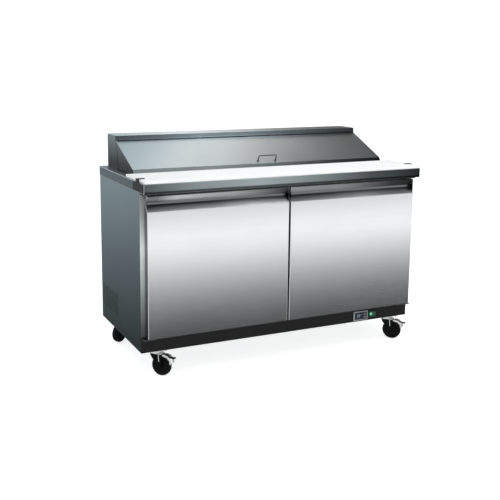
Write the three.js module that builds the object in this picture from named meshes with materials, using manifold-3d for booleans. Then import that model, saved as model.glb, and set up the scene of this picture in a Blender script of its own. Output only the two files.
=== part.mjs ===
// Two-door refrigerated sandwich prep table: an insulated stainless cabinet on four swivel casters,
// with two swing doors, a recessed dark kick plate that carries the controls, a worktop with a
// full-width cutting board, a rail of food pans, and a slanted insulated lid hinged to a rear hood.
// Millimetres. X runs left to right seen from the front, -Y is the front, +Z is up.
// The origin is on the floor, under the middle of the worktop.

import * as THREE from 'three';
import { mergeVertices } from 'three/addons/utils/BufferGeometryUtils.js';
import Module from 'manifold-3d';

const wasm = await Module();
wasm.setup();

// ---------- driving dimensions ----------
const GAP = 0.3;                 // kept between pieces that touch
const SHEET = 1.5;               // outer stainless sheet
const THIN_SHEET = 1.2;          // liner, side and lid sheet
const REACH = 40;                // how far a cutting block runs past the piece it cuts

const WORKTOP = { halfW: 765, front: -359, back: 359, top: 950, bottom: 902 };
const BODY = { halfW: 763, front: -290, back: 357, bottom: 130, top: 901.7 };
const KICK_TOP = 207;
const BACK_PANEL_Y = 346;        // the back is recessed between the side panels
const MACHINE = { front: 80, top: 335 };            // compressor compartment, lower rear
const CABIN = { halfW: 712, floor: 250, step: 38, hump: 374, back: 312, top: 899.8 };
const INSULATION_TOP = 948;

const FRAME_OPENING = { inner: 35, outer: 710, bottom: 240, top: 855 };   // each doorway
const DOOR = { inner: 5, outer: 743, bottom: 209, top: 890, front: -338, back: -297 };
const PULL = { bottom: 817, depth: 32, slopeTop: 847, slotTop: 876, lipLow: 859 };
const DOOR_HINGE = { x: 731, y: -314, pinR: 5, boreR: 5.6 };
const GASKET = { margin: 10, width: 14, back: -290.3 };

const PAN_WELL = { halfW: 675, front: -45, back: 307 };
const PANS_PER_ROW = 8;
const PAN = { pitchX: 168.5, pitchY: 175, rimX: 165, rimY: 172, bodyX: 150, bodyY: 157, depth: 98 };
const RACK_Z = 930;
const BOARD = { front: -358.5, back: -86, thick: 12.7, halfW: 762 };

const HOOD = { halfW: 719, back: 355, top: 1120.5, bandY: 212.5, bandZ: 1095, footY: 173 };
const LID = { halfW: 718, topY: 211.2, topZ: 1094.2, edgeY: -56, edgeZ: 978, lipY: -68, lipZ: 957 };
const LID_BOTTOM = 952;
const LID_HINGE = { y: 209.5, z: 1098.5, r: 2.5 };
const LID_HANDLE = { x: 24, width: 103, standoff: 31, wireR: 3, fromEdge: 24 };

const CASTER = { x: 672, frontY: -246, rearY: 290, trail: 30, wheelR: 50, wheelW: 28 };
const CASTER_HEADING = { front: -50, rear: -145 };  // degrees: where each pair of wheels trails
const CONTROLLER = { x0: 424, x1: 511, z0: 137, z1: 186 };
const SWITCH = { x: 541, z: 162, width: 50, height: 36 };

// ---------- solids: three.js shapes turned into manifolds that can be cut and joined ----------
function solid(geometry) {
  geometry.deleteAttribute('normal');
  geometry.deleteAttribute('uv');
  const merged = mergeVertices(geometry, 1e-4);
  const vertProperties = new Float32Array(merged.getAttribute('position').array);
  const triVerts = new Uint32Array(merged.getIndex().array);
  return new wasm.Manifold(new wasm.Mesh({ numProp: 3, vertProperties, triVerts }));
}

// A block between two values on each axis; each pair may be given in either order.
function block(x0, x1, y0, y1, z0, z1) {
  const box = new THREE.BoxGeometry(Math.abs(x1 - x0), Math.abs(y1 - y0), Math.abs(z1 - z0));
  box.translate((x0 + x1) / 2, (y0 + y1) / 2, (z0 + z1) / 2);
  return solid(box);
}

function outline(points) {
  return new THREE.Shape(points.map(([a, b]) => new THREE.Vector2(a, b)));
}

// Prisms: the outline lies in (y, z), (x, z) or (x, y), and runs from one plane to another.
function prismX(points, x0, x1) {
  const shape = new THREE.ExtrudeGeometry(outline(points), { depth: Math.abs(x1 - x0), bevelEnabled: false });
  const turn = new THREE.Matrix4().makeBasis(
    new THREE.Vector3(0, 1, 0), new THREE.Vector3(0, 0, 1), new THREE.Vector3(1, 0, 0));
  shape.applyMatrix4(turn);
  shape.translate(Math.min(x0, x1), 0, 0);
  return solid(shape);
}

function prismY(points, y0, y1) {
  const shape = new THREE.ExtrudeGeometry(outline(points), { depth: Math.abs(y1 - y0), bevelEnabled: false });
  shape.rotateX(Math.PI / 2);
  shape.translate(0, Math.max(y0, y1), 0);
  return solid(shape);
}

function prismZ(points, z0, z1) {
  const shape = new THREE.ExtrudeGeometry(outline(points), { depth: Math.abs(z1 - z0), bevelEnabled: false });
  shape.translate(0, 0, Math.min(z0, z1));
  return solid(shape);
}

// A round bar along one axis, from one value to another, around a centre line given by the
// other two coordinates in X, Y, Z order.
function rod(axis, from, to, [a, b], radius, sides = 16) {
  const bar = new THREE.CylinderGeometry(radius, radius, Math.abs(to - from), sides);
  const middle = (from + to) / 2;
  if (axis === 'x') {
    bar.rotateZ(Math.PI / 2);
    bar.translate(middle, a, b);
  } else if (axis === 'y') {
    bar.translate(a, middle, b);
  } else {
    bar.rotateX(Math.PI / 2);
    bar.translate(a, b, middle);
  }
  return solid(bar);
}

// A turned piece around a vertical line; the profile is a list of [radius, height], rising.
function turnedZ(profile, x, y, sides) {
  const shape = new THREE.LatheGeometry(profile.map(([r, h]) => new THREE.Vector2(r, h)), sides);
  shape.rotateX(Math.PI / 2);
  shape.translate(x, y, 0);
  return solid(shape);
}

function tubeAlong(curve, radius, steps) {
  const circle = new THREE.Shape();
  circle.absarc(0, 0, radius, 0, 2 * Math.PI);
  return solid(new THREE.ExtrudeGeometry(circle, { extrudePath: curve, steps, curveSegments: 8 }));
}

function union(pieces) {
  return pieces.reduce((whole, piece) => whole.add(piece));
}

function cut(piece, tools) {
  return tools.reduce((left, tool) => left.subtract(tool), piece);
}

// ---------- finishes ----------
function finish(color, roughness, metalness) {
  return new THREE.MeshStandardMaterial({ color, roughness, metalness });
}
const stainless = () => finish(0xc4c9cc, 0.32, 0.95);
const darkSheet = () => finish(0x2b2b2c, 0.45, 0.3);
const galvanised = () => finish(0xa7abac, 0.5, 0.8);
const zinc = () => finish(0xc9ccd0, 0.35, 0.9);
const whiteBoard = () => finish(0xf4f4f0, 0.6, 0);
const blackPlastic = () => finish(0x161617, 0.5, 0);
const greyRubber = () => finish(0x4a4c4e, 0.8, 0);
const blackRubber = () => finish(0x121212, 0.75, 0);
const foam = () => finish(0xd9c98a, 0.9, 0);
const aluminiumFins = () => finish(0xb9bcbe, 0.45, 0.8);

const table = new THREE.Group();

// Turns a finished manifold into the named mesh of one piece.
function part(name, body, material, parent = table) {
  const { vertProperties, triVerts } = body.getMesh();
  const geometry = new THREE.BufferGeometry();
  geometry.setAttribute('position', new THREE.BufferAttribute(new Float32Array(vertProperties), 3));
  geometry.setIndex(new THREE.BufferAttribute(new Uint32Array(triVerts), 1));
  geometry.computeVertexNormals();
  const mesh = new THREE.Mesh(geometry, material);
  mesh.name = name;
  parent.add(mesh);
}

// ---------- cabinet shell ----------
const SIDE_VENTS = { columns: 5, rows: 11, pitchY: 54, pitchZ: 10.5, length: 42, height: 5, y0: 316, z0: 212 };

function sidePanel(side) {
  const panel = block(side * BODY.halfW, side * (BODY.halfW - THIN_SHEET),
    BODY.front + SHEET + GAP, BODY.back, BODY.bottom, BODY.top);
  const slots = [];
  for (let column = 0; column < SIDE_VENTS.columns; column += 1) {
    for (let row = 0; row < SIDE_VENTS.rows; row += 1) {
      const y = SIDE_VENTS.y0 - column * SIDE_VENTS.pitchY;
      const z = SIDE_VENTS.z0 + row * SIDE_VENTS.pitchZ;
      slots.push(block(side * (BODY.halfW - REACH), side * (BODY.halfW + REACH),
        y - SIDE_VENTS.length / 2, y + SIDE_VENTS.length / 2,
        z - SIDE_VENTS.height / 2, z + SIDE_VENTS.height / 2));
    }
  }
  return cut(panel, slots);
}
part('left_side_panel', sidePanel(-1), stainless());
part('right_side_panel', sidePanel(1), stainless());

const INNER_HALF_W = BODY.halfW - THIN_SHEET - GAP;
part('back_panel', block(-INNER_HALF_W, INNER_HALF_W, BACK_PANEL_Y, BACK_PANEL_Y + SHEET,
  360, BODY.top), galvanised());

const GRILLE = { columns: 6, rows: 7, pitchX: 210, pitchZ: 24, length: 180, height: 8, z0: 172 };

function rearGrille() {
  const panel = block(-INNER_HALF_W, INNER_HALF_W, BACK_PANEL_Y, BACK_PANEL_Y + SHEET,
    BODY.bottom + SHEET + GAP, 360 - GAP);
  const slots = [];
  for (let column = 0; column < GRILLE.columns; column += 1) {
    for (let row = 0; row < GRILLE.rows; row += 1) {
      const x = (column - (GRILLE.columns - 1) / 2) * GRILLE.pitchX;
      const z = GRILLE.z0 + row * GRILLE.pitchZ;
      slots.push(block(x - GRILLE.length / 2, x + GRILLE.length / 2,
        BACK_PANEL_Y - REACH, BACK_PANEL_Y + REACH, z - GRILLE.height / 2, z + GRILLE.height / 2));
    }
  }
  return cut(panel, slots);
}
part('rear_grille', rearGrille(), galvanised());

part('bottom_pan', block(-INNER_HALF_W, INNER_HALF_W, BODY.front + SHEET + GAP, BACK_PANEL_Y - GAP,
  BODY.bottom, BODY.bottom + SHEET), galvanised());

// The cabin's side view: a flat floor at the front and a raised one over the compressor.
function cabinOutline(grow, front) {
  return [
    [front, CABIN.floor - grow],
    [CABIN.step + grow, CABIN.floor - grow],
    [CABIN.step + grow, CABIN.hump - grow],
    [CABIN.back + grow, CABIN.hump - grow],
    [CABIN.back + grow, CABIN.top + grow],
    [front, CABIN.top + grow],
  ];
}

const LINER_FRONT = BODY.front + SHEET + GAP;

function innerLiner() {
  const outer = prismX(cabinOutline(THIN_SHEET, LINER_FRONT),
    -CABIN.halfW - THIN_SHEET, CABIN.halfW + THIN_SHEET);
  const space = prismX(cabinOutline(0, LINER_FRONT - REACH), -CABIN.halfW, CABIN.halfW);
  const well = block(-PAN_WELL.halfW + 3, PAN_WELL.halfW - 3, PAN_WELL.front + 1, PAN_WELL.back - 1,
    CABIN.top - 5, CABIN.top + REACH);
  return cut(outer, [space, well]);
}
part('inner_liner', innerLiner(), finish(0xc9cdcf, 0.4, 0.9));

function insulation() {
  const whole = block(-INNER_HALF_W, INNER_HALF_W, LINER_FRONT, BACK_PANEL_Y - GAP,
    KICK_TOP, INSULATION_TOP);
  const machineRoom = block(-WORKTOP.halfW, WORKTOP.halfW, MACHINE.front, WORKTOP.back, 0, MACHINE.top);
  const liner = prismX(cabinOutline(THIN_SHEET + GAP, LINER_FRONT - REACH),
    -CABIN.halfW - THIN_SHEET - GAP, CABIN.halfW + THIN_SHEET + GAP);
  const well = block(-PAN_WELL.halfW - 2, PAN_WELL.halfW + 2, PAN_WELL.front - 2, PAN_WELL.back + 2,
    CABIN.top - 5, INSULATION_TOP + REACH);
  return cut(whole, [machineRoom, liner, well]);
}
part('insulation', insulation(), foam());

// Front frame: two jambs, a mullion and two rails around the two doorways.
function faceFrame() {
  const plate = block(-BODY.halfW, BODY.halfW, BODY.front, BODY.front + SHEET,
    KICK_TOP + GAP, BODY.top);
  const doorway = (side) => block(side * FRAME_OPENING.inner, side * FRAME_OPENING.outer,
    BODY.front - REACH, BODY.front + REACH, FRAME_OPENING.bottom, FRAME_OPENING.top);
  return cut(plate, [doorway(-1), doorway(1)]);
}
part('face_frame', faceFrame(), stainless());

function kickPlate() {
  const plate = block(-BODY.halfW, BODY.halfW, BODY.front, BODY.front + SHEET, BODY.bottom, KICK_TOP);
  const controllerHole = block(CONTROLLER.x0 + 5, CONTROLLER.x1 - 5, BODY.front - REACH,
    BODY.front + REACH, CONTROLLER.z0 + 4, CONTROLLER.z1 - 4);
  const switchHole = block(SWITCH.x - SWITCH.width / 2 + 2, SWITCH.x + SWITCH.width / 2 - 2,
    BODY.front - REACH, BODY.front + REACH,
    SWITCH.z - SWITCH.height / 2 + 2, SWITCH.z + SWITCH.height / 2 - 2);
  return cut(plate, [controllerHole, switchHole]);
}
part('kick_plate', kickPlate(), darkSheet());

// ---------- worktop, cutting board, pans ----------
function worktop() {
  const outer = block(-WORKTOP.halfW, WORKTOP.halfW, WORKTOP.front, WORKTOP.back,
    WORKTOP.bottom, WORKTOP.top);
  const under = block(-WORKTOP.halfW + SHEET, WORKTOP.halfW - SHEET, WORKTOP.front + SHEET,
    WORKTOP.back - SHEET, WORKTOP.bottom - REACH, WORKTOP.top - SHEET);
  const frontReturn = block(-WORKTOP.halfW, WORKTOP.halfW, WORKTOP.front, WORKTOP.front + 24,
    WORKTOP.bottom, WORKTOP.bottom + SHEET);
  const collar = block(-PAN_WELL.halfW - SHEET, PAN_WELL.halfW + SHEET, PAN_WELL.front - SHEET,
    PAN_WELL.back + SHEET, 904, WORKTOP.top);
  const wellAbove = block(-PAN_WELL.halfW, PAN_WELL.halfW, PAN_WELL.front, PAN_WELL.back,
    RACK_Z - GAP, WORKTOP.top + REACH);
  const wellBelow = block(-PAN_WELL.halfW, PAN_WELL.halfW, PAN_WELL.front, PAN_WELL.back,
    WORKTOP.bottom - REACH, RACK_Z - 4);
  const throat = block(-PAN_WELL.halfW + 6, PAN_WELL.halfW - 6, PAN_WELL.front + 6, PAN_WELL.back - 6,
    RACK_Z - 10, RACK_Z + 10);
  const shell = union([cut(outer, [under]), frontReturn, collar]);
  return cut(shell, [wellAbove, wellBelow, throat]);
}
part('worktop', worktop(), stainless());

const BOARD_Z = WORKTOP.top + GAP;
part('cutting_board', block(-BOARD.halfW, BOARD.halfW, BOARD.front, BOARD.back,
  BOARD_Z, BOARD_Z + BOARD.thick), whiteBoard());

// End bracket: a plate screwed to the end of the worktop, with a finger that hooks over the board.
function boardBracket(side) {
  const outside = side * (WORKTOP.halfW + GAP);
  const faceX = side * (WORKTOP.halfW + GAP + 3);
  const boardTop = BOARD_Z + BOARD.thick;
  const plate = block(outside, faceX, -352, -208, 908, WORKTOP.top - 2);
  const arm = block(outside, faceX, -287, -253, WORKTOP.top - 4, boardTop + GAP + 3);
  const finger = block(side * (WORKTOP.halfW - 34), faceX, -281, -259, boardTop + GAP, boardTop + GAP + 3);
  return union([plate, arm, finger]);
}
part('board_bracket_left', boardBracket(-1), blackPlastic());
part('board_bracket_right', boardBracket(1), blackPlastic());

const PAN_MID_Y = (PAN_WELL.front + PAN_WELL.back) / 2;

function panCentre(column, row) {
  return [(column - (PANS_PER_ROW - 1) / 2) * PAN.pitchX, PAN_MID_Y + (row - 0.5) * PAN.pitchY];
}

// Rack: the bars that the pan rims rest on, one opening for each pan.
function panRack() {
  const plate = block(-PAN_WELL.halfW + GAP, PAN_WELL.halfW - GAP, PAN_WELL.front + GAP,
    PAN_WELL.back - GAP, RACK_Z, RACK_Z + 3);
  const openings = [];
  for (let column = 0; column < PANS_PER_ROW; column += 1) {
    for (let row = 0; row < 2; row += 1) {
      const [x, y] = panCentre(column, row);
      openings.push(block(x - PAN.bodyX / 2 - 3, x + PAN.bodyX / 2 + 3, y - PAN.bodyY / 2 - 3,
        y + PAN.bodyY / 2 + 3, RACK_Z - REACH, RACK_Z + REACH));
    }
  }
  return cut(plate, openings);
}
part('pan_rack', panRack(), stainless());

// One row of pans, joined by their touching rims.
function panRow(row) {
  const rimZ = RACK_Z + 3 + GAP;
  const rimTop = rimZ + 2;
  const halfLength = ((PANS_PER_ROW - 1) * PAN.pitchX + PAN.rimX) / 2;
  const rowY = PAN_MID_Y + (row - 0.5) * PAN.pitchY;
  const rim = block(-halfLength, halfLength, rowY - PAN.rimY / 2, rowY + PAN.rimY / 2, rimZ, rimTop);
  const bodies = [];
  const hollows = [];
  for (let column = 0; column < PANS_PER_ROW; column += 1) {
    const [x, y] = panCentre(column, row);
    const halfX = PAN.bodyX / 2;
    const halfY = PAN.bodyY / 2;
    bodies.push(block(x - halfX, x + halfX, y - halfY, y + halfY, rimTop - PAN.depth, rimTop));
    hollows.push(block(x - halfX + SHEET, x + halfX - SHEET, y - halfY + SHEET, y + halfY - SHEET,
      rimTop - PAN.depth + SHEET, rimTop + REACH));
  }
  return cut(union([rim, ...bodies]), hollows);
}
part('pan_row_front', panRow(0), stainless());
part('pan_row_rear', panRow(1), stainless());

// ---------- rear hood and slanted lid ----------
function hood() {
  const outer = prismX([
    [HOOD.back, WORKTOP.top + GAP],
    [HOOD.back, HOOD.top],
    [HOOD.bandY, HOOD.top],
    [HOOD.bandY, HOOD.bandZ],
    [HOOD.footY, WORKTOP.top + GAP],
  ], -HOOD.halfW, HOOD.halfW);
  const inside = prismX([
    [HOOD.back - SHEET, WORKTOP.top - REACH],
    [HOOD.back - SHEET, HOOD.top - SHEET],
    [HOOD.bandY + SHEET, HOOD.top - SHEET],
    [HOOD.bandY + SHEET, HOOD.bandZ],
    [HOOD.footY - REACH, HOOD.bandZ],
    [HOOD.footY - REACH, WORKTOP.top - REACH],
  ], -HOOD.halfW + SHEET, HOOD.halfW - SHEET);
  return cut(outer, [inside]);
}
part('hood_box', hood(), stainless());

part('lid_hinge', rod('x', -HOOD.halfW + 12, HOOD.halfW - 12, [LID_HINGE.y, LID_HINGE.z],
  LID_HINGE.r, 8), stainless());

const LID_SLOPE = (LID.topZ - LID.edgeZ) / (LID.topY - LID.edgeY);
const LID_NORMAL = new THREE.Vector2(-LID_SLOPE, 1).normalize();   // (y, z), out of the lid's face

// Height of a surface parallel to the lid's slanted face and a given distance inside it.
function slantZ(y, inset) {
  return LID.edgeZ + (y - LID.edgeY) * LID_SLOPE - inset / LID_NORMAL.y;
}

function lidShell() {
  const outer = prismX([
    [LID.topY, LID.topZ],
    [LID.edgeY, LID.edgeZ],
    [LID.lipY, LID.lipZ],
    [LID.lipY, LID_BOTTOM],
    [HOOD.footY - 2.4, LID_BOTTOM],
  ], -LID.halfW, LID.halfW);
  const behind = HOOD.bandY + REACH;
  const inside = prismX([
    [behind, slantZ(behind, THIN_SHEET)],
    [LID.edgeY + 0.9, slantZ(LID.edgeY + 0.9, THIN_SHEET)],
    [LID.lipY + THIN_SHEET, LID.lipZ - 0.4],
    [LID.lipY + THIN_SHEET, LID_BOTTOM - REACH],
    [behind, LID_BOTTOM - REACH],
  ], -LID.halfW + THIN_SHEET, LID.halfW - THIN_SHEET);
  return cut(outer, [inside]);
}

const LID_LINER = { rearY: 200, frontY: -44, thick: 18, shorten: 8, sideGap: 4 };

// Inner panel: a flat slab against the inside of the slanted face.
function lidLiner() {
  const { rearY, frontY, thick, shorten, sideGap } = LID_LINER;
  const skin = THIN_SHEET + GAP + 0.2;
  return prismX([
    [rearY, slantZ(rearY, skin)],
    [frontY, slantZ(frontY, skin)],
    [frontY + shorten, slantZ(frontY + shorten, skin + thick)],
    [rearY - shorten, slantZ(rearY - shorten, skin + thick)],
  ], -LID.halfW + sideGap, LID.halfW - sideGap);
}

// Bent wire pull: two feet square to the lid's face and a bar between them.
function lidHandle() {
  const along = new THREE.Vector2(LID_NORMAL.y, -LID_NORMAL.x);
  const footY = LID.edgeY + along.x * LID_HANDLE.fromEdge;
  const at = (x, height) => new THREE.Vector3(x, footY + LID_NORMAL.x * height,
    slantZ(footY, 0) + LID_NORMAL.y * height);
  const left = LID_HANDLE.x - LID_HANDLE.width / 2;
  const right = LID_HANDLE.x + LID_HANDLE.width / 2;
  const bend = 9;
  const high = LID_HANDLE.standoff;
  const path = new THREE.CurvePath();
  path.add(new THREE.LineCurve3(at(left, GAP), at(left, high - bend)));
  path.add(new THREE.QuadraticBezierCurve3(at(left, high - bend), at(left, high), at(left + bend, high)));
  path.add(new THREE.LineCurve3(at(left + bend, high), at(right - bend, high)));
  path.add(new THREE.QuadraticBezierCurve3(at(right - bend, high), at(right, high), at(right, high - bend)));
  path.add(new THREE.LineCurve3(at(right, high - bend), at(right, GAP)));
  return tubeAlong(path, LID_HANDLE.wireR, 24);
}
part('lid_shell', lidShell(), stainless());
part('lid_liner', lidLiner(), finish(0xe6e6e2, 0.5, 0));
part('lid_handle', lidHandle(), zinc());

// ---------- doors ----------
// Section of the door skin in (y, z): a flat front, a full-width finger pull near the top, whose
// lower slope runs back under a lip that leans in from the door's top front edge.
const PULL_BACK = DOOR.front + PULL.depth;
const DOOR_SECTION = [
  [DOOR.back, DOOR.bottom],
  [DOOR.front, DOOR.bottom],
  [DOOR.front, PULL.bottom],
  [PULL_BACK, PULL.slopeTop],
  [PULL_BACK, PULL.slotTop],
  [DOOR.front + 11, PULL.slotTop],
  [DOOR.front + 20.5, PULL.lipLow + 1.2],
  [DOOR.front + 18.5, PULL.lipLow],
  [DOOR.front, DOOR.top],
  [DOOR.back, DOOR.top],
];
const DOOR_HOLLOW = [
  [DOOR.back + REACH, DOOR.bottom + SHEET],
  [DOOR.front + SHEET, DOOR.bottom + SHEET],
  [DOOR.front + SHEET, PULL.bottom - 0.6],
  [PULL_BACK + SHEET, PULL.slopeTop - 0.6],
  [PULL_BACK + SHEET, DOOR.top - SHEET],
  [DOOR.back + REACH, DOOR.top - SHEET],
];

function doorSkin(side) {
  const { x, y, boreR } = DOOR_HINGE;
  const outer = prismX(DOOR_SECTION, side * DOOR.inner, side * DOOR.outer);
  const hollow = prismX(DOOR_HOLLOW, side * (DOOR.inner + SHEET), side * (DOOR.outer - SHEET));
  const topBore = rod('z', DOOR.top - 12.5, DOOR.top + REACH, [side * x, y], boreR);
  const bottomBore = rod('z', DOOR.bottom - REACH, DOOR.bottom + 12, [side * x, y], boreR);
  return cut(outer, [hollow, topBore, bottomBore]);
}

function doorLiner(side) {
  const edge = SHEET + 0.5;
  const plate = block(side * (DOOR.inner + edge), side * (DOOR.outer - edge),
    DOOR.back - 3, DOOR.back, DOOR.bottom + edge, DOOR.top - edge);
  const raised = block(side * (FRAME_OPENING.inner + 15), side * (FRAME_OPENING.outer - 15),
    DOOR.back - 3, DOOR.back + 20, FRAME_OPENING.bottom + 15, FRAME_OPENING.top - 15);
  const dish = block(side * (FRAME_OPENING.inner + 60), side * (FRAME_OPENING.outer - 60),
    DOOR.back + 12, DOOR.back + REACH, FRAME_OPENING.bottom + 60, FRAME_OPENING.top - 60);
  const back = block(side * (FRAME_OPENING.inner + 18), side * (FRAME_OPENING.outer - 18),
    DOOR.back - REACH, DOOR.back + 9, FRAME_OPENING.bottom + 18, FRAME_OPENING.top - 18);
  return cut(union([plate, raised]), [dish, back]);
}

function doorGasket(side) {
  const low = DOOR.bottom + GASKET.margin;
  const high = DOOR.top - GASKET.margin;
  const near = DOOR.inner + GASKET.margin;
  const far = DOOR.outer - GASKET.margin;
  const ring = block(side * near, side * far, DOOR.back + GAP, GASKET.back, low, high);
  const middle = block(side * (near + GASKET.width), side * (far - GASKET.width),
    DOOR.back - REACH, DOOR.back + REACH, low + GASKET.width, high - GASKET.width);
  return cut(ring, [middle]);
}

// Hinge bracket: a leaf on the face frame or kick plate, a shelf and an upright pin.
function doorHinge(side, shelfZ, leafZ, pinFrom, pinTo) {
  const inner = side * 701;
  const outer = side * 760;
  const leaf = block(inner, outer, BODY.front - 2.8, BODY.front - GAP, leafZ, shelfZ + 4);
  const shelf = block(inner, outer, -328, BODY.front - GAP, shelfZ, shelfZ + 4);
  const pin = rod('z', pinFrom, pinTo, [side * DOOR_HINGE.x, DOOR_HINGE.y], DOOR_HINGE.pinR);
  return union([leaf, shelf, pin]);
}

for (const [side, hand] of [[-1, 'left'], [1, 'right']]) {
  part(`door_skin_${hand}`, doorSkin(side), stainless());
  part(`door_liner_${hand}`, doorLiner(side), finish(0xe2e4e4, 0.45, 0));
  part(`door_gasket_${hand}`, doorGasket(side), greyRubber());
  part(`door_hinge_top_${hand}`, doorHinge(side, 893, 893, DOOR.top - 11, 894), zinc());
  part(`door_hinge_bottom_${hand}`, doorHinge(side, 201, 190, 204, DOOR.bottom + 10), zinc());
}

// ---------- inside the cabin ----------
const SHELF = { z: 600, front: -262, back: 232, inner: 10, outer: 704, wire: 5, wires: 13 };

function wireShelf(side) {
  const { z, front, back, inner, outer, wire, wires } = SHELF;
  const bars = [
    block(side * inner, side * outer, front, front + 7, z, z + 7),
    block(side * inner, side * outer, back - 7, back, z, z + 7),
    block(side * inner, side * (inner + 7), front, back, z, z + 7),
    block(side * (outer - 7), side * outer, front, back, z, z + 7),
  ];
  for (let index = 1; index < wires; index += 1) {
    const x = inner + (outer - inner) * (index / wires);
    bars.push(block(side * (x - wire / 2), side * (x + wire / 2), front + 2, back - 2, z + 1, z + 6));
  }
  return union(bars);
}
part('shelf_left', wireShelf(-1), zinc());
part('shelf_right', wireShelf(1), zinc());

const EVAPORATOR = { halfW: 280, front: 246, bottom: 410, top: 700, fanZ: 560, fanR: 70 };

function evaporatorCover() {
  const { halfW, front, bottom, top, fanZ, fanR } = EVAPORATOR;
  const outer = block(-halfW, halfW, front, CABIN.back - GAP, bottom, top);
  const inside = block(-halfW + SHEET, halfW - SHEET, front + SHEET, CABIN.back + REACH,
    bottom + SHEET, top - SHEET);
  const fanHole = rod('y', front - REACH, front + REACH, [0, fanZ], fanR, 24);
  return cut(outer, [inside, fanHole]);
}
part('evaporator_cover', evaporatorCover(), finish(0xdfe1e1, 0.45, 0.1));

// Axial fan: a hub and pitched blades around the X or the Y axis.
function fan(axis, centre, radius, hubR, depth, blades) {
  const place = (geometry) => {
    if (axis === 'x') {
      geometry.rotateZ(Math.PI / 2);
    }
    geometry.translate(...centre);
    return solid(geometry);
  };
  const pieces = [place(new THREE.CylinderGeometry(hubR, hubR, depth, 12))];
  for (let index = 0; index < blades; index += 1) {
    const blade = new THREE.BoxGeometry(radius - hubR + 3, 2, hubR * 1.5);
    blade.rotateX(0.45);
    blade.translate((radius + hubR - 3) / 2, 0, 0);
    blade.rotateY((2 * Math.PI * index) / blades);
    pieces.push(place(blade));
  }
  return union(pieces);
}
part('evaporator_fan', fan('y', [0, EVAPORATOR.front + 20, EVAPORATOR.fanZ], 62, 20, 16, 5), blackPlastic());

// ---------- compressor compartment ----------
const MACHINE_FLOOR = BODY.bottom + SHEET + GAP;

function compressor() {
  const pot = turnedZ([[0, MACHINE_FLOOR + 12], [62, MACHINE_FLOOR + 12], [74, MACHINE_FLOOR + 30],
    [76, MACHINE_FLOOR + 90], [70, MACHINE_FLOOR + 125], [48, MACHINE_FLOOR + 148],
    [0, MACHINE_FLOOR + 156]], 380, 215, 20);
  const feet = block(290, 470, 150, 280, MACHINE_FLOOR, MACHINE_FLOOR + 14);
  return union([pot, feet]);
}
part('compressor', compressor(), finish(0x1b1c1d, 0.4, 0.3));

const CONDENSER = { x0: -700, x1: -652, y0: 92, y1: 334, z0: MACHINE_FLOOR, z1: 328 };
const CONDENSER_MID = [(CONDENSER.y0 + CONDENSER.y1) / 2, (CONDENSER.z0 + CONDENSER.z1) / 2];

function condenserCoil() {
  const core = block(CONDENSER.x0, CONDENSER.x1, CONDENSER.y0, CONDENSER.y1, CONDENSER.z0, CONDENSER.z1);
  const channels = [];
  for (let y = CONDENSER.y0 + 22; y < CONDENSER.y1 - 15; y += 20) {
    channels.push(block(CONDENSER.x0 - REACH, CONDENSER.x0 + 16, y - 4, y + 4,
      CONDENSER.z0 + 10, CONDENSER.z1 - 10));
  }
  return cut(core, channels);
}
part('condenser_coil', condenserCoil(), aluminiumFins());

function fanShroud() {
  const plate = block(CONDENSER.x1 + GAP, CONDENSER.x1 + 34, CONDENSER.y0, CONDENSER.y1,
    CONDENSER.z0, CONDENSER.z1);
  const duct = rod('x', CONDENSER.x0, CONDENSER.x1 + 90, CONDENSER_MID, 90, 24);
  return cut(plate, [duct]);
}
part('fan_shroud', fanShroud(), darkSheet());
part('condenser_fan', fan('x', [CONDENSER.x1 + 18, ...CONDENSER_MID], 82, 22, 18, 5), blackPlastic());

part('power_inlet_gland', union([
  rod('y', BACK_PANEL_Y + SHEET + GAP, BACK_PANEL_Y + SHEET + 4, [690, 200], 14, 6),
  rod('y', BACK_PANEL_Y + SHEET + 3, BODY.back - 0.5, [690, 200], 9, 12),
]), blackPlastic());

// ---------- controls on the kick plate ----------
const FACE_Y = BODY.front - 6;        // front of the controller's bezel
const DISPLAY = { x0: 433, x1: 477, z0: 149, z1: 175 };
const BUTTON = { x: 492, halfW: 8, halfH: 4.5, rows: [169, 154] };

function controllerBezel() {
  const frontPlate = block(CONTROLLER.x0, CONTROLLER.x1, FACE_Y, BODY.front - GAP,
    CONTROLLER.z0, CONTROLLER.z1);
  const housing = block(CONTROLLER.x0 + 6, CONTROLLER.x1 - 6, BODY.front - 1, BODY.front + 30,
    CONTROLLER.z0 + 5, CONTROLLER.z1 - 5);
  const window = block(DISPLAY.x0, DISPLAY.x1, FACE_Y - REACH, FACE_Y + 3, DISPLAY.z0, DISPLAY.z1);
  const wells = BUTTON.rows.map((z) => block(BUTTON.x - BUTTON.halfW, BUTTON.x + BUTTON.halfW,
    FACE_Y - REACH, FACE_Y + 5, z - BUTTON.halfH, z + BUTTON.halfH));
  return cut(union([frontPlate, housing]), [window, ...wells]);
}
part('controller_bezel', controllerBezel(), finish(0xb9c0c4, 0.4, 0));
part('display_window', block(DISPLAY.x0 + GAP, DISPLAY.x1 - GAP, FACE_Y - 0.2, FACE_Y + 3 - GAP,
  DISPLAY.z0 + GAP, DISPLAY.z1 - GAP), finish(0x0d1418, 0.15, 0));

const BUTTON_NAMES = ['button_up', 'button_down'];
BUTTON.rows.forEach((z, index) => {
  part(BUTTON_NAMES[index], block(BUTTON.x - BUTTON.halfW + 0.4, BUTTON.x + BUTTON.halfW - 0.4,
    FACE_Y - 1.5, FACE_Y + 3, z - BUTTON.halfH + 0.4, z + BUTTON.halfH - 0.4), finish(0x3a4046, 0.5, 0));
});

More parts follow.
